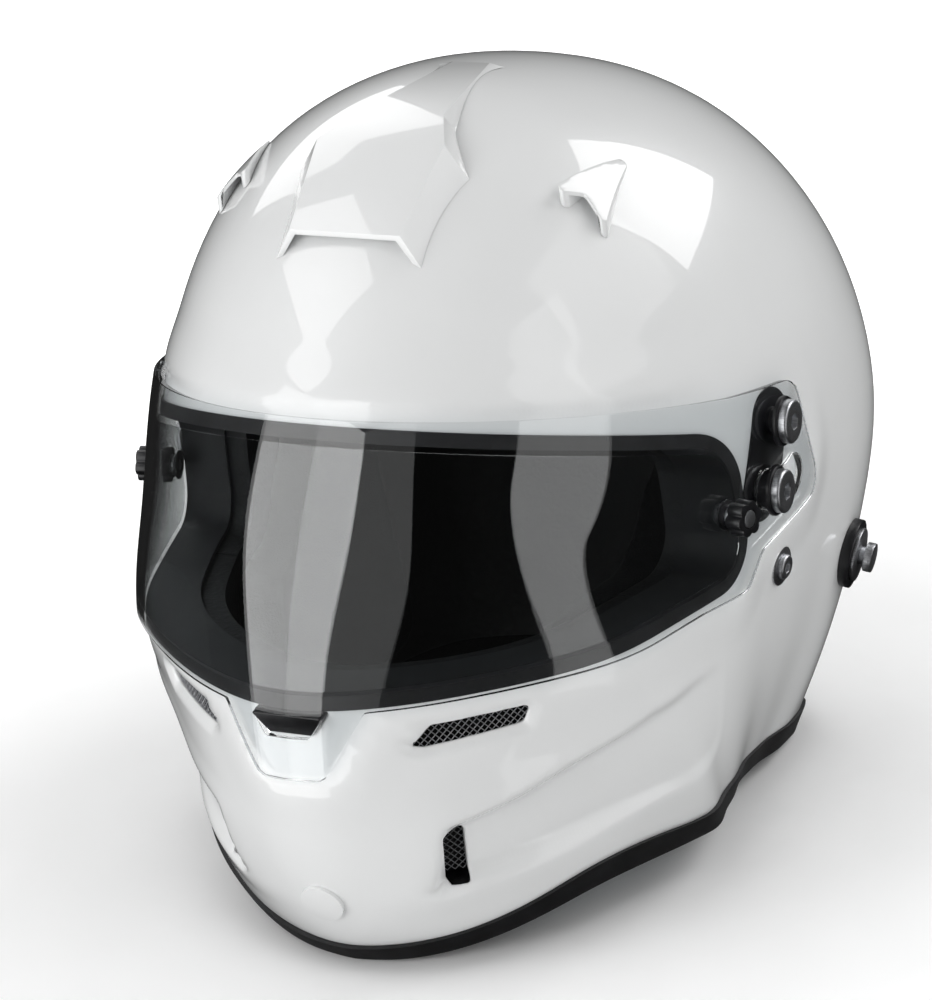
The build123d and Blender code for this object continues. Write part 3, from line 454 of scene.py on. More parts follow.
def node_copy(*names):
    """Merged copy of CAD nodes, its flat stretches joined to single faces."""
    bm = bmesh.new()
    for name in names:
        bm.from_mesh(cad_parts[name].data)
    bmesh.ops.remove_doubles(bm, verts=bm.verts, dist=2e-6)
    bmesh.ops.dissolve_limit(bm, angle_limit=math.radians(0.4), verts=bm.verts, edges=bm.edges)
    return bm


def soften(bm, width, degrees=30, segments=2):
    """Round the hard lines of a mesh."""
    limit = math.radians(degrees)
    hard = [e for e in bm.edges if len(e.link_faces) == 2 and e.calc_face_angle(0) > limit]
    bmesh.ops.bevel(bm, geom=hard, offset=width, offset_type="OFFSET", segments=segments,
                    profile=0.5, affect="EDGES", clamp_overlap=True, material=-1)


def linear(code):
    """Linear colour from an sRGB hex code."""
    parts = [int(code[i:i + 2], 16) / 255 for i in (1, 3, 5)]
    return tuple(p / 12.92 if p <= 0.04045 else ((p + 0.055) / 1.055) ** 2.4
                 for p in parts) + (1.0,)


def add_node(tree, kind, links=(), **settings):
    """Add a node, set its own settings and its inputs, and link other nodes to it."""
    node = tree.nodes.new(kind)
    for key, value in settings.items():
        if hasattr(node, key):
            setattr(node, key, value)
        else:
            node.inputs[key.replace("_", " ")].default_value = value
    for socket, source in links:
        tree.links.new(source, node.inputs[socket])
    return node


def start_material(name, **surface_settings):
    """A material with a Principled surface and object coordinates."""
    material = bpy.data.materials.new(name)
    material.use_nodes = True
    tree = material.node_tree
    tree.nodes.clear()
    shader = add_node(tree, "ShaderNodeBsdfPrincipled")
    for key, value in surface_settings.items():
        shader.inputs[key.replace("_", " ")].default_value = value
    add_node(tree, "ShaderNodeOutputMaterial", [("Surface", shader.outputs["BSDF"])])
    where = add_node(tree, "ShaderNodeTexCoord").outputs["Object"]
    return material, tree, shader, where


def set_bump(tree, shader, height, distance, strength=1.0):
    """Drive a shader's normal from a height."""
    bump = add_node(tree, "ShaderNodeBump", [("Height", height)],
                    Distance=distance, Strength=strength)
    tree.links.new(bump.outputs["Normal"], shader.inputs["Normal"])
    return bump


def vary_colour(tree, shader, fac, low, high, low_at=0.3, high_at=0.7):
    """Base colour between two hex codes, driven by a factor."""
    ramp = add_node(tree, "ShaderNodeValToRGB", [("Fac", fac)])
    for element, code, at in zip(ramp.color_ramp.elements, (low, high), (low_at, high_at)):
        element.color = linear(code)
        element.position = at
    tree.links.new(ramp.outputs["Color"], shader.inputs["Base Color"])


def vary_roughness(tree, shader, fac, low, high):
    """Roughness between two values, driven by a factor."""
    spread = add_node(tree, "ShaderNodeMapRange", [("Value", fac)], To_Min=low, To_Max=high)
    tree.links.new(spread.outputs["Result"], shader.inputs["Roughness"])


def noise(tree, where, scale, detail=2.0, stretch=None):
    """Noise of a given scale, drawn out along an axis where stretch is given."""
    if stretch:
        where = add_node(tree, "ShaderNodeMapping", [("Vector", where)],
                         Scale=stretch).outputs["Vector"]
    return add_node(tree, "ShaderNodeTexNoise", [("Vector", where)],
                    Scale=scale, Detail=detail).outputs["Fac"]


def gloss_lacquer(name, code):
    """Sprayed two pack lacquer: deep clear coat with a trace of orange peel."""
    material, tree, shader, where = start_material(
        name, Roughness=0.34, Coat_Weight=1.0, Coat_Roughness=0.03, IOR=1.5)
    # Orange peel is some 2 mm across and only microns high
    set_bump(tree, shader, noise(tree, where, 420, 1.0), 0.00001, 0.35)
    bright = "#%02x%02x%02x" % tuple(min(255, int(code[i:i + 2], 16) + 3) for i in (1, 3, 5))
    vary_colour(tree, shader, noise(tree, where, 18, 2.0), code, bright)
    return material


def satin_rubber(name, code):
    """Extruded EPDM rubber: dull sheen with fine moulding grain."""
    material, tree, shader, where = start_material(
        name, IOR=1.52, Specular_IOR_Level=0.4, Sheen_Weight=0.05)
    grain = noise(tree, where, 2600, 3.0)
    set_bump(tree, shader, grain, 0.00004, 0.5)
    vary_colour(tree, shader, noise(tree, where, 90, 3.0), code, "#17171a")
    vary_roughness(tree, shader, grain, 0.42, 0.6)
    return material


def moulded_nylon(name, code):
    """Injection moulded black nylon: fine spark texture, soft highlights."""
    material, tree, shader, where = start_material(name, IOR=1.53, Specular_IOR_Level=0.45)
    grain = noise(tree, where, 3800, 2.0)
    set_bump(tree, shader, grain, 0.00003, 0.5)
    vary_colour(tree, shader, noise(tree, where, 140, 3.0), code, "#1d1d20")
    vary_roughness(tree, shader, grain, 0.30, 0.46)
    return material


def turned_metal(name, code, rough=0.34):
    """Lathe turned metal: fine streaks across the light, bright edges."""
    material, tree, shader, where = start_material(name, Metallic=1.0)
    streaks = noise(tree, where, 260, 4.0, (1.0, 14.0, 14.0))
    set_bump(tree, shader, streaks, 0.00002, 0.5)
    vary_colour(tree, shader, streaks, code, "#e6e7ea")
    vary_roughness(tree, shader, streaks, rough, rough + 0.14)
    return material


def clear_polycarbonate(name, code, rough=0.0):
    """Hard coated clear polycarbonate: clean gloss, light passes to what lies under."""
    material, tree, shader, where = start_material(
        name, IOR=1.5, Roughness=rough, Transmission_Weight=1.0)
    shader.inputs["Base Color"].default_value = linear(code)
    # Injection moulding leaves a very shallow long ripple
    set_bump(tree, shader, noise(tree, where, 24, 0.0), 0.00004, 0.25)
    open_light = add_node(tree, "ShaderNodeBsdfTransparent")
    open_light.inputs["Color"].default_value = linear("#f2f4f5")
    path = add_node(tree, "ShaderNodeLightPath")
    either = add_node(tree, "ShaderNodeMath",
                      [(0, path.outputs["Is Shadow Ray"]), (1, path.outputs["Is Diffuse Ray"])],
                      operation="MAXIMUM")
    mix = add_node(tree, "ShaderNodeMixShader",
                   [(0, either.outputs[0]), (1, shader.outputs["BSDF"]),
                    (2, open_light.outputs["BSDF"])])
    output = next(n for n in tree.nodes if n.type == "OUTPUT_MATERIAL")
    tree.links.new(mix.outputs["Shader"], output.inputs["Surface"])
    return material


def woven_wire(name, code):
    """Fine stainless wire cloth, dulled between the wires."""
    material, tree, shader, where = start_material(name, Metallic=1.0)
    soot = noise(tree, where, 700, 3.0)
    vary_colour(tree, shader, soot, "#98999c", code)
    vary_roughness(tree, shader, soot, 0.45, 0.6)
    set_bump(tree, shader, noise(tree, where, 2400, 1.0), 0.00002, 0.6)
    return material


def webbing(name, code):
    """Woven polyester webbing: ribs 1.3 mm apart across a diagonal twill."""
    material, tree, shader, where = start_material(
        name, Roughness=0.72, Sheen_Weight=0.3, Sheen_Roughness=0.4)
    ribs = add_node(tree, "ShaderNodeTexWave", [("Vector", where)], Scale=240.0,
                    bands_direction="DIAGONAL", Distortion=0.6, Detail=1.0)
    cross = add_node(tree, "ShaderNodeTexWave", [("Vector", where)], Scale=380.0,
                     bands_direction="Y", Distortion=0.4, Detail=1.0)
    both = add_node(tree, "ShaderNodeMath",
                    [(0, ribs.outputs["Fac"]), (1, cross.outputs["Fac"])], operation="ADD")
    set_bump(tree, shader, both.outputs[0], 0.00025, 0.8)
    vary_colour(tree, shader, ribs.outputs["Fac"], code, "#2b2b2e", 0.1, 0.9)
    return material


def bead_foam(name, code):
    """Moulded polystyrene foam: fused beads of some 3 mm under a thin skin."""
    material, tree, shader, where = start_material(name, Roughness=0.62)
    beads = add_node(tree, "ShaderNodeTexVoronoi", [("Vector", where)], Scale=330.0,
                     feature="DISTANCE_TO_EDGE")
    set_bump(tree, shader, beads.outputs["Distance"], 0.0006, 0.5)
    vary_colour(tree, shader, beads.outputs["Distance"], "#0d0d0e", code, 0.0, 0.25)
    return material


def brushed_cloth(name, code):
    """Knitted fire resistant cloth, brushed: soft nap over 0.9 mm stitches."""
    material, tree, shader, where = start_material(
        name, Roughness=0.95, Specular_IOR_Level=0.15, Sheen_Weight=0.02)
    stitch = add_node(tree, "ShaderNodeTexVoronoi", [("Vector", where)], Scale=1100.0)
    nap = noise(tree, where, 1800, 4.0)
    both = add_node(tree, "ShaderNodeMath", [(0, stitch.outputs["Distance"]), (1, nap)],
                    operation="ADD")
    set_bump(tree, shader, both.outputs[0], 0.0003, 0.6)
    vary_colour(tree, shader, nap, code, "#0c0c0d")
    return material


FINISHES = {}


def finish(key):
    """A finish by name, made once."""
    colours = bpy.context.scene.helmet_colours
    makers = {
        "white_gloss_lacquer": (gloss_lacquer, colours.paint),
        "black_epdm_rubber": (satin_rubber, colours.rubber),
        "black_moulded_nylon": (moulded_nylon, colours.plastic),
        "turned_aluminium": (turned_metal, colours.metal),
        "hard_coated_polycarbonate": (clear_polycarbonate, colours.visor),
        "clear_acetate_film": (clear_polycarbonate, colours.film),
        "woven_stainless_wire": (woven_wire, colours.mesh),
        "woven_polyester_webbing": (webbing, colours.webbing),
        "moulded_polystyrene_foam": (bead_foam, colours.foam),
        "brushed_knit_cloth": (brushed_cloth, colours.cloth),
    }
    if key not in FINISHES:
        maker, colour = makers[key]
        code = "#" + "".join("%02x" % round(255 * part) for part in colour)
        FINISHES[key] = maker(key, code)
    return FINISHES[key]


def colour_prop(name, description, code):
    """A colour setting given as an sRGB hex code."""
    parts = [int(code[i:i + 2], 16) / 255 for i in (1, 3, 5)]
    return FloatVectorProperty(name=name, description=description, size=3, min=0, max=1,
                               subtype="COLOR_GAMMA", default=parts)


class HelmetColours(bpy.types.PropertyGroup):
    """Colours of the helmet's finishes."""
    paint: colour_prop("Paint", "Lacquer on the shell", "#e9eaea")
    rubber: colour_prop("Rubber", "Edge trim and port gasket", "#0b0b0c")
    plastic: colour_prop("Plastic", "Knobs, washers, plates and bases", "#0e0e10")
    metal: colour_prop("Metal", "Screws, posts and rings", "#a9abae")
    visor: colour_prop("Visor", "Tint of the visor", "#fafbfb")
    film: colour_prop("Film", "Tint of the inner film", "#f2f4f4")
    mesh: colour_prop("Mesh", "Wire cloth of the vents", "#c9cacd")
    webbing: colour_prop("Webbing", "Chin straps", "#101012")
    # The foam colour is darker than black foam itself: partly the foam's own black, partly painted
    # shade of the helmet's inside
    foam: colour_prop("Foam", "Energy absorbing liner", "#0d0d0e")
    # The cloth colour is darker than black cloth itself: partly the cloth's own black, partly
    # painted shade of the helmet's inside
    cloth: colour_prop("Cloth", "Comfort pads", "#060607")


class HelmetSizes(bpy.types.PropertyGroup):
    """Sizes of details that are drawn only in the scene."""
    edge_radius: FloatProperty(name="Edge radius", description="Rounding of the shell's cuts",
                               default=0.0008, unit="LENGTH")
    ridge_height: FloatProperty(name="Ridge height", description="Ridge round the visor",
                                default=0.0013, unit="LENGTH")
    jaw_depth: FloatProperty(name="Jaw depth", description="Recess at its front end",
                             default=0.0062, unit="LENGTH")
    wire_pitch: FloatProperty(name="Wire pitch", description="Spacing of the vent wires",
                              default=0.0019, unit="LENGTH")
    wire_width: FloatProperty(name="Wire width", description="Thickness of the vent wires",
                              default=0.0006, unit="LENGTH")


def shell_relief(places):
    """Height over the plain shell: visor ridge, jaw recess and vent funnels."""
    sizes = bpy.context.scene.helmet_sizes
    from_visor = beyond_visor(places)
    ridge = sizes.ridge_height * step_between(*RIDGE_RISE, from_visor)
    ridge *= 1 - step_between(*RIDGE_FADE, from_visor)
    from_pivot = np.hypot(places[:, 1] - PIVOT[0], places[:, 2] - PIVOT[1])
    ridge *= step_between(*RIDGE_PAST_PIVOT, from_pivot)
    in_jaw = -jaw_field(places)
    fade = np.clip((JAW_REAR_Y - places[:, 1]) / JAW_FADE_LENGTH, 0, 1)
    recess = sizes.jaw_depth * fade * step_between(*JAW_WALL, in_jaw)
    bead = JAW_BEAD_HEIGHT * step_between(*JAW_BEAD_RISE, in_jaw)
    bead *= 1 - step_between(*JAW_BEAD_FALL, in_jaw)
    funnel = CHIN_FUNNEL_DEPTH * (1 - step_between(*CHIN_FUNNEL, chin_vent_field(places)))
    back_funnel = REAR_FUNNEL_DEPTH * (1 - step_between(*REAR_FUNNEL, rear_vent_field(places)))
    return ridge - recess + bead * fade - funnel - back_funnel


def both(stem):
    """The left and right names of a pair."""
    return [f"{stem}_{side}" for side in SIDES]


class HELMET_OT_shell(bpy.types.Operator):
    """White lacquered shell with its recesses and rounded openings"""
    bl_idname = "helmet.shell"
    bl_label = "Shell"

    def execute(self, context):
        radius = context.scene.helmet_sizes.edge_radius
        rows = spaced((0.0, 1.6, 24), (1.6, 7.3, 220), (7.3, 15.0, 90))
        columns = spaced((0.0, 0.06, 4), (0.06, 0.82, 140), (0.82, 1.0, 14))
        bm = skin(rows, columns, 0.0, shell_relief)
        cut(bm, above_rim)
        for field, depth in ((port_field, SHELL_WALL), (jaw_vent_field, SHELL_WALL),
                             (chin_vent_field, SHELL_WALL), (rear_vent_field, SHELL_WALL),
                             (catch_field, SHELL_WALL)):
            line = cut(bm, field, radius)
            turn_edge(bm, line, radius, depth)
        mirror_over(bm)
        add_piece(bm, "shell_skin", finish("white_gloss_lacquer"), "helmet",
                  ["outer_shell"] + both("jaw_inlet"), sharp=50)
        return {"FINISHED"}


class HELMET_OT_scoops(bpy.types.Operator):
    """Crown scoop and the two side scoops, painted as the shell is"""
    bl_idname = "helmet.scoops"
    bl_label = "Scoops"

    def execute(self, context):
        for name in ["top_scoop"] + both("side_scoop"):
            bm = node_copy(name)
            soften(bm, 0.0004, 18)
            add_piece(bm, f"{name}_skin", finish("white_gloss_lacquer"), "helmet",
                      [name], sharp=28)
        return {"FINISHED"}


class HELMET_OT_vent_wire(bpy.types.Operator):
    """Diagonal wire cloth behind each vent"""
    bl_idname = "helmet.vent_wire"
    bl_label = "Vent wire"

    def execute(self, context):
        sizes = context.scene.helmet_sizes
        vents = (("chin_vent_mesh", 39.4), ("jaw_vent_mesh", 34.0), ("rear_vent_mesh", 194.0))
        for stem, turn in vents:
            for side, sign in zip(SIDES, (1, -1)):
                name = f"{stem}_{side}"
                low, high = (Vector(corner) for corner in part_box(name))
                middle = (low + high) / 2
                reach = (high - low).length / 2
                facing = Vector((sign * math.sin(math.radians(turn)),
                                 -math.cos(math.radians(turn)), 0))
                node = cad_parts[name]
                tree = BVHTree.FromPolygons([v.co for v in node.data.vertices],
                                            [p.vertices for p in node.data.polygons])
                count = int(2 * reach / sizes.wire_pitch)
                bm = bmesh.new()
                bmesh.ops.create_grid(bm, x_segments=count, y_segments=count, size=reach)
                upright = Matrix((Vector((0, 0, 1)).cross(facing), (0, 0, 1), facing)).transposed()
                turned = upright.to_4x4() @ Matrix.Rotation(math.radians(42), 4, "Z")
                bmesh.ops.transform(bm, matrix=Matrix.Translation(middle) @ turned,
                                    verts=bm.verts)
                missed = []
                for vert in bm.verts:
                    hit = tree.ray_cast(vert.co + facing * 0.03, -facing, 0.06)[0]
                    if hit is None:
                        missed.append(vert)
                    else:
                        vert.co = hit - facing * sizes.wire_width / 2
                bmesh.ops.delete(bm, geom=missed, context="VERTS")
                piece = add_piece(bm, f"{name}_wire", finish("woven_stainless_wire"), "helmet",
                                  [name])
                wires = piece.modifiers.new("Wires", "WIREFRAME")
                wires.thickness = sizes.wire_width
                wires.use_even_offset = False
        return {"FINISHED"}


class HELMET_OT_rubber(bpy.types.Operator):
    """Rubber edge trim and the gasket round the eye port"""
    bl_idname = "helmet.rubber"
    bl_label = "Rubber"

    def execute(self, context):
        for name in ("bottom_edge_trim", "eye_port_gasket"):
            bm = node_copy(name)
            add_piece(bm, f"{name}_rubber", finish("black_epdm_rubber"), "helmet",
                      [name], sharp=40)
        return {"FINISHED"}


def guide_slot(places):
    """Field outside the arc slot that the guide washer runs in."""
    y, z = places[:, 1] - PIVOT[0], places[:, 2] - PIVOT[1]
    radius = math.hypot(GUIDE[0] - PIVOT[0], GUIDE[1] - PIVOT[1])
    start = math.atan2(GUIDE[1] - PIVOT[1], GUIDE[0] - PIVOT[0]) - math.radians(SLOT_SPARE)
    end = start + math.radians(SWING + 2 * SLOT_SPARE)
    turn = np.arctan2(z, y)
    turn = np.where(turn < start - 1, turn + 2 * math.pi, turn)
    held = np.clip(turn, start, end)
    gap = np.hypot(y - radius * np.cos(held), z - radius * np.sin(held))
    return gap - SLOT_HALF_WIDTH


def round_hole(place, radius):
    """Field outside a round hole seen from the side."""
    return lambda places: np.hypot(places[:, 1] - place[0], places[:, 2] - place[1]) - radius


def clear_panel(name, rows, columns, out, thick, cuts, key, edge, flat=None):
    """Curved clear panel: a cut skin given its thickness and a rounded edge."""
    bm = skin(rows, columns, out)
    if flat:
        for vert in bm.verts:
            vert.co.x = min(vert.co.x, flat)
    for field in cuts:
        cut(bm, field)
    mirror_over(bm)
    bmesh.ops.remove_doubles(bm, verts=bm.verts, dist=0.00008)
    piece = add_piece(bm, name, finish(key), "visor_body")
    wall = piece.modifiers.new("Wall", "SOLIDIFY")
    wall.thickness = thick
    wall.offset = -1
    wall.use_even_offset = True
    rim = piece.modifiers.new("Edge", "BEVEL")
    rim.width = edge
    rim.segments = 3
    rim.limit_method = "ANGLE"
    rim.angle_limit = math.radians(55)
    rim.harden_normals = True
    return piece


class HELMET_OT_visor(bpy.types.Operator):
    """Clear visor with its tab, and the film bonded inside it"""
    bl_idname = "helmet.visor"
    bl_label = "Visor"

    def execute(self, context):
        rows = spaced((1.4, 10.4, 190))
        columns = spaced((0.2, 1.0, 92))
        visor = clear_panel(
            "visor_pane", rows, columns, VISOR_OUTER, VISOR_THICK,
            [lambda places: -beyond_visor(places), guide_slot,
             round_hole(PIVOT, PIVOT_HOLE_RADIUS), round_hole(POST, POST_HOLE_RADIUS),
             catch_field],
            "hard_coated_polycarbonate", 0.0005, VISOR_FLAT_X)
        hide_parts("visor")
        film = clear_panel(
            "visor_film", rows, columns, FILM_OUTER, FILM_THICK,
            [lambda places: -port_field(places) - FILM_MARGIN,
             round_hole(POST_INSIDE, FILM_HOLE_RADIUS)],
            "clear_acetate_film", 0.0001)
        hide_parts("anti_fog_film")
        return {"FINISHED"}


def dressed(name, key, body, width=0.0003, angle=30):
    """A CAD node with softened edges and a finish."""
    bm = node_copy(name)
    soften(bm, width, angle)
    return add_piece(bm, f"{name}_dressed", finish(key), body, [name])


class HELMET_OT_pivots(bpy.types.Operator):
    """Pivot plates, washers, screws, tear off posts and their knobs"""
    bl_idname = "helmet.pivots"
    bl_label = "Pivots"

    def execute(self, context):
        for stem in ("pivot_plate", "pivot_washer", "guide_washer"):
            for name in both(stem):
                dressed(name, "black_moulded_nylon", "helmet")
        for stem in ("pivot_screw", "guide_screw", "pivot_backing"):
            for name in both(stem):
                dressed(name, "turned_aluminium", "helmet", 0.0002)
        for side in SIDES:
            dressed(f"tear_off_knob_{side}", "black_moulded_nylon", f"knob_{side}",
                    0.0006)
            dressed(f"tear_off_post_{side}", "turned_aluminium", "visor_body", 0.0002)
            dressed(f"tear_off_nut_{side}", "black_moulded_nylon", "visor_body",
                    0.0002)
        return {"FINISHED"}


class HELMET_OT_catch(bpy.types.Operator):
    """Visor catch, its housing and the chin cap"""
    bl_idname = "helmet.catch"
    bl_label = "Catch"

    def execute(self, context):
        dressed("visor_catch", "black_moulded_nylon", "catch", 0.0005)
        dressed("catch_housing", "black_moulded_nylon", "helmet")
        dressed("chin_cap", "white_gloss_lacquer", "helmet", 0.0005)
        return {"FINISHED"}


class HELMET_OT_restraints(bpy.types.Operator):
    """Head restraint posts and the strap screws"""
    bl_idname = "helmet.restraints"
    bl_label = "Restraints"

    def execute(self, context):
        for name in both("restraint_base"):
            dressed(name, "black_moulded_nylon", "helmet", 0.0012)
        for stem in ("restraint_ring", "restraint_post", "restraint_nut", "strap_screw",
                     "strap_washer"):
            for name in both(stem):
                dressed(name, "turned_aluminium", "helmet", 0.0003)
        return {"FINISHED"}


class HELMET_OT_straps(bpy.types.Operator):
    """Chin straps of webbing and the two strap rings"""
    bl_idname = "helmet.straps"
    bl_label = "Straps"

    def execute(self, context):
        for side in SIDES:
            dressed(f"strap_{side}", "woven_polyester_webbing", "helmet", 0.0005)
        for ring in ("near", "far"):
            dressed(f"strap_ring_{ring}", "turned_aluminium", f"ring_{ring}")
        return {"FINISHED"}


def padded_copy(name, voxel, body="helmet"):
    """Cloth covered pad: the CAD solid, remeshed and smoothed soft."""
    bm = node_copy(name)
    piece = add_piece(bm, f"{name}_cloth", finish("brushed_knit_cloth"), body,
                      [name], sharp=180)
    remesh = piece.modifiers.new("Remesh", "REMESH")
    remesh.mode = "VOXEL"
    remesh.voxel_size = voxel
    remesh.use_smooth_shade = True
    ease = piece.modifiers.new("Ease", "SMOOTH")
    ease.factor = 0.6
    ease.iterations = 14
    return piece


class HELMET_OT_lining(bpy.types.Operator):
    """Foam liner and the cloth covered comfort pads"""
    bl_idname = "helmet.lining"
    bl_label = "Lining"

    def execute(self, context):
        for name in ("liner_crown", "liner_chin"):
            bm = node_copy(name)
            add_piece(bm, f"{name}_foam", finish("moulded_polystyrene_foam"), "helmet",
                      [name])
        for name in ["crown_pad", "neck_roll", "chin_roll"] + both("cheek_pad"):
            padded_copy(name, 0.0025)
        return {"FINISHED"}


def ray_kinds(tree):
    """Factors for rays that see past the clear pieces, and for rays mirrored by a gloss."""
    path = add_node(tree, "ShaderNodeLightPath").outputs
    mirrored = add_node(tree, "ShaderNodeMath", [(0, path["Glossy Depth"])],
                        operation="MINIMUM", use_clamp=True)
    mirrored.inputs[1].default_value = 1.0
    both_ways = add_node(tree, "ShaderNodeMath",
                         [(0, path["Is Transmission Ray"]), (1, mirrored.outputs[0])],
                         operation="MULTIPLY")
    straight = add_node(tree, "ShaderNodeMath",
                        [(0, path["Is Transmission Ray"]), (1, mirrored.outputs[0])],
                        operation="SUBTRACT", use_clamp=True)
    seen = add_node(tree, "ShaderNodeMath",
                    [(0, path["Is Camera Ray"]), (1, straight.outputs[0])],
                    operation="MAXIMUM")
    glossy = add_node(tree, "ShaderNodeMath",
                      [(0, path["Is Glossy Ray"]), (1, both_ways.outputs[0])],
                      operation="MAXIMUM")
    return seen.outputs[0], glossy.outputs[0]


def toward(azimuth, elevation):
    """Unit way from the helmet, in degrees from the front toward +X and up."""
    turn, rise = math.radians(azimuth), math.radians(elevation)
    return Vector((math.sin(turn) * math.cos(rise), -math.cos(turn) * math.cos(rise),
                   math.sin(rise)))


def aim(thing, place, target):
    """Place a lamp and point its -Z at a target."""
    thing.rotation_euler = (target - place).to_track_quat("-Z", "Y").to_euler()
    thing.location = place


# Studio lamps: name, azimuth from the front toward +X, elevation, distance, height of
# the point aimed at, width, height and power
LAMPS = (
    ("front_panel_left", -40, 0, 2.0, 0.35, 0.93, 2.6, 16.5),
    ("front_panel_middle", -14, 0, 2.0, 0.35, 0.9, 2.6, 20),
    ("front_panel_right", 10, 0, 2.0, 0.35, 0.9, 2.6, 2.6),
    ("right_strip", 72, 0, 1.75, 0.35, 0.75, 2.6, 6.5),
    ("left_high", -60, 52, 2.0, 0.16, 1.2, 0.9, 8),
    ("right_side", 100, 35, 2.0, 0.16, 1.2, 1.2, 4),
    ("right_rear", 140, 35, 2.0, 0.16, 1.2, 1.2, 18),
    ("left_rear", -130, 35, 2.0, 0.16, 1.2, 1.2, 9),
)


def add_lamp(name, azimuth, elevation, distance, aim_height, width, height, power):
    """Soft rectangular studio lamp, aimed at the middle line of the helmet."""
    lamp = bpy.data.lights.new(name, "AREA")
    lamp.shape = "RECTANGLE"
    lamp.size, lamp.size_y = width, height
    lamp.energy = power
    thing = bpy.data.objects.new(name, lamp)
    bpy.context.scene.collection.objects.link(thing)
    target = Vector((0, 0, aim_height))
    aim(thing, target + distance * toward(azimuth, elevation), target)
    return thing


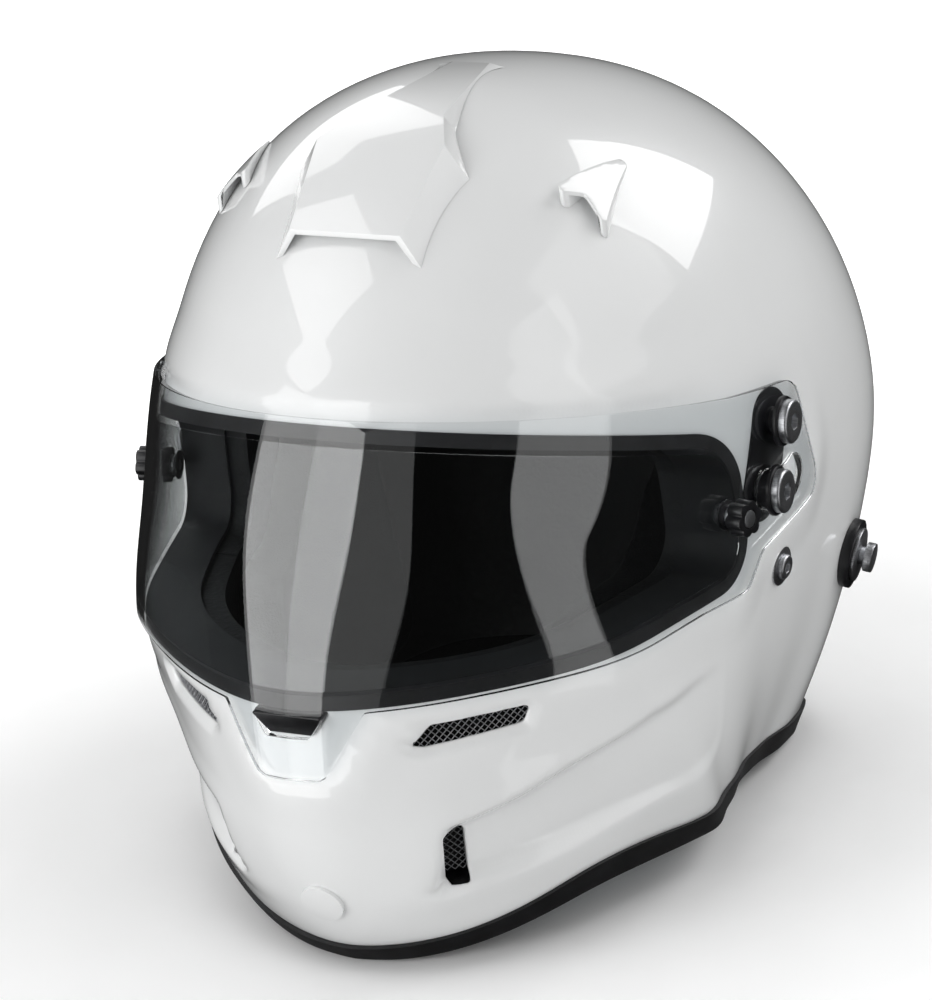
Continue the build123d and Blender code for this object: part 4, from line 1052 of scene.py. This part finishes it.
class HELMET_OT_stage(bpy.types.Operator):
    """Pale floor, soft studio lamps and the camera"""
    bl_idname = "helmet.stage"
    bl_label = "Stage"

    def execute(self, context):
        bm = bmesh.new()
        bmesh.ops.create_grid(bm, x_segments=8, y_segments=8, size=6.0)
        mesh = bpy.data.meshes.new("studio_floor")
        bm.to_mesh(mesh)
        bm.free()
        floor = bpy.data.objects.new("studio_floor", mesh)
        context.scene.collection.objects.link(floor)
        material, tree, shader, where = start_material("white_studio_paper", Roughness=0.85)
        vary_colour(tree, shader, noise(tree, where, 30, 2.0), "#f4f4f4", "#f7f7f7")
        past, glossy = ray_kinds(tree)
        # The paper glows a little away from the helmet, so that it runs out to white
        apart = add_node(tree, "ShaderNodeVectorMath", [(0, where)], operation="LENGTH")
        glow = add_node(tree, "ShaderNodeMapRange", [("Value", apart.outputs["Value"])],
                        From_Min=0.12, From_Max=0.45, To_Min=0.0, To_Max=0.6)
        lift = add_node(tree, "ShaderNodeEmission", [("Strength", glow.outputs["Result"])])
        seen = add_node(tree, "ShaderNodeAddShader",
                        [(0, shader.outputs["BSDF"]), (1, lift.outputs["Emission"])])
        mix = add_node(tree, "ShaderNodeMixShader",
                       [(0, past), (1, shader.outputs["BSDF"]), (2, seen.outputs["Shader"])])
        absent = add_node(tree, "ShaderNodeBsdfTransparent")
        paper = add_node(tree, "ShaderNodeMixShader",
                         [(0, glossy), (1, mix.outputs["Shader"]), (2, absent.outputs["BSDF"])])
        output = next(n for n in tree.nodes if n.type == "OUTPUT_MATERIAL")
        tree.links.new(paper.outputs["Shader"], output.inputs["Surface"])
        mesh.materials.append(material)

        world = bpy.data.worlds.new("studio")
        context.scene.world = world
        world.use_nodes = True
        tree = world.node_tree
        tree.nodes.clear()
        past, glossy = ray_kinds(tree)
        soft = add_node(tree, "ShaderNodeBackground", Strength=0.26)
        dark = add_node(tree, "ShaderNodeBackground", Strength=0.015)
        seen = add_node(tree, "ShaderNodeBackground", Strength=1.0)
        for source in (soft, dark, seen):
            source.inputs["Color"].default_value = (1, 1, 1, 1)
        shine = add_node(tree, "ShaderNodeMixShader",
                         [(0, glossy), (1, soft.outputs[0]), (2, dark.outputs[0])])
        mix = add_node(tree, "ShaderNodeMixShader",
                       [(0, past), (1, shine.outputs["Shader"]), (2, seen.outputs[0])])
        add_node(tree, "ShaderNodeOutputWorld", [("Surface", mix.outputs["Shader"])])

        for lamp in LAMPS:
            add_lamp(*lamp)

        target = Vector((0, 0, CAMERA_AIM_HEIGHT))
        back = toward(CAMERA_AZIMUTH, CAMERA_ELEVATION)
        right = toward(CAMERA_AZIMUTH + 90, 0)
        roll = math.radians(CAMERA_ROLL)
        up = back.cross(right)
        leaning = right * math.cos(roll) + up * math.sin(roll)
        upright = up * math.cos(roll) - right * math.sin(roll)
        camera = bpy.data.objects.new("camera", bpy.data.cameras.new("camera"))
        context.scene.collection.objects.link(camera)
        turned = Matrix((leaning, upright, back)).transposed().to_4x4()
        camera.matrix_world = Matrix.Translation(target + back * CAMERA_DISTANCE) @ turned
        camera.data.sensor_fit = "VERTICAL"
        camera.data.sensor_height = SENSOR_HEIGHT
        camera.data.lens = FOCAL_PIXELS / PHOTO_HEIGHT * SENSOR_HEIGHT
        camera.data.shift_x = (PHOTO_WIDTH / 2 - MIDDLE_PIXEL[0]) / PHOTO_HEIGHT
        camera.data.shift_y = (MIDDLE_PIXEL[1] - PHOTO_HEIGHT / 2) / PHOTO_HEIGHT
        context.scene.camera = camera
        context.scene.view_settings.view_transform = "Standard"
        return {"FINISHED"}


class HELMET_PT_panel(bpy.types.Panel):
    """Buttons for each group of pieces"""
    bl_label = "Racing helmet"
    bl_idname = "HELMET_PT_panel"
    bl_space_type = "VIEW_3D"
    bl_region_type = "UI"
    bl_category = "Helmet"

    def draw(self, context):
        for operator in OPERATORS:
            self.layout.operator(operator.bl_idname)
        for group in (context.scene.helmet_colours, context.scene.helmet_sizes):
            for key in group.__annotations__:
                self.layout.prop(group, key)


OPERATORS = (
    HELMET_OT_shell, HELMET_OT_scoops, HELMET_OT_vent_wire, HELMET_OT_rubber,
    HELMET_OT_visor, HELMET_OT_pivots, HELMET_OT_catch, HELMET_OT_restraints,
    HELMET_OT_straps, HELMET_OT_lining, HELMET_OT_stage,
)
CLASSES = (HelmetColours, HelmetSizes) + OPERATORS + (HELMET_PT_panel,)


def register():
    """Make the settings, operators and panel known to Blender."""
    for item in CLASSES:
        bpy.utils.register_class(item)
    bpy.types.Scene.helmet_colours = PointerProperty(type=HelmetColours)
    bpy.types.Scene.helmet_sizes = PointerProperty(type=HelmetSizes)


def unregister():
    """Take them away again."""
    del bpy.types.Scene.helmet_colours
    del bpy.types.Scene.helmet_sizes
    for item in reversed(CLASSES):
        bpy.utils.unregister_class(item)


def main():
    """Build every group of pieces."""
    register()
    bpy.ops.helmet.stage()
    bpy.ops.helmet.shell()
    bpy.ops.helmet.scoops()
    bpy.ops.helmet.vent_wire()
    bpy.ops.helmet.rubber()
    bpy.ops.helmet.visor()
    bpy.ops.helmet.pivots()
    bpy.ops.helmet.catch()
    bpy.ops.helmet.restraints()
    bpy.ops.helmet.straps()
    bpy.ops.helmet.lining()


if __name__ == "__main__":
    main()
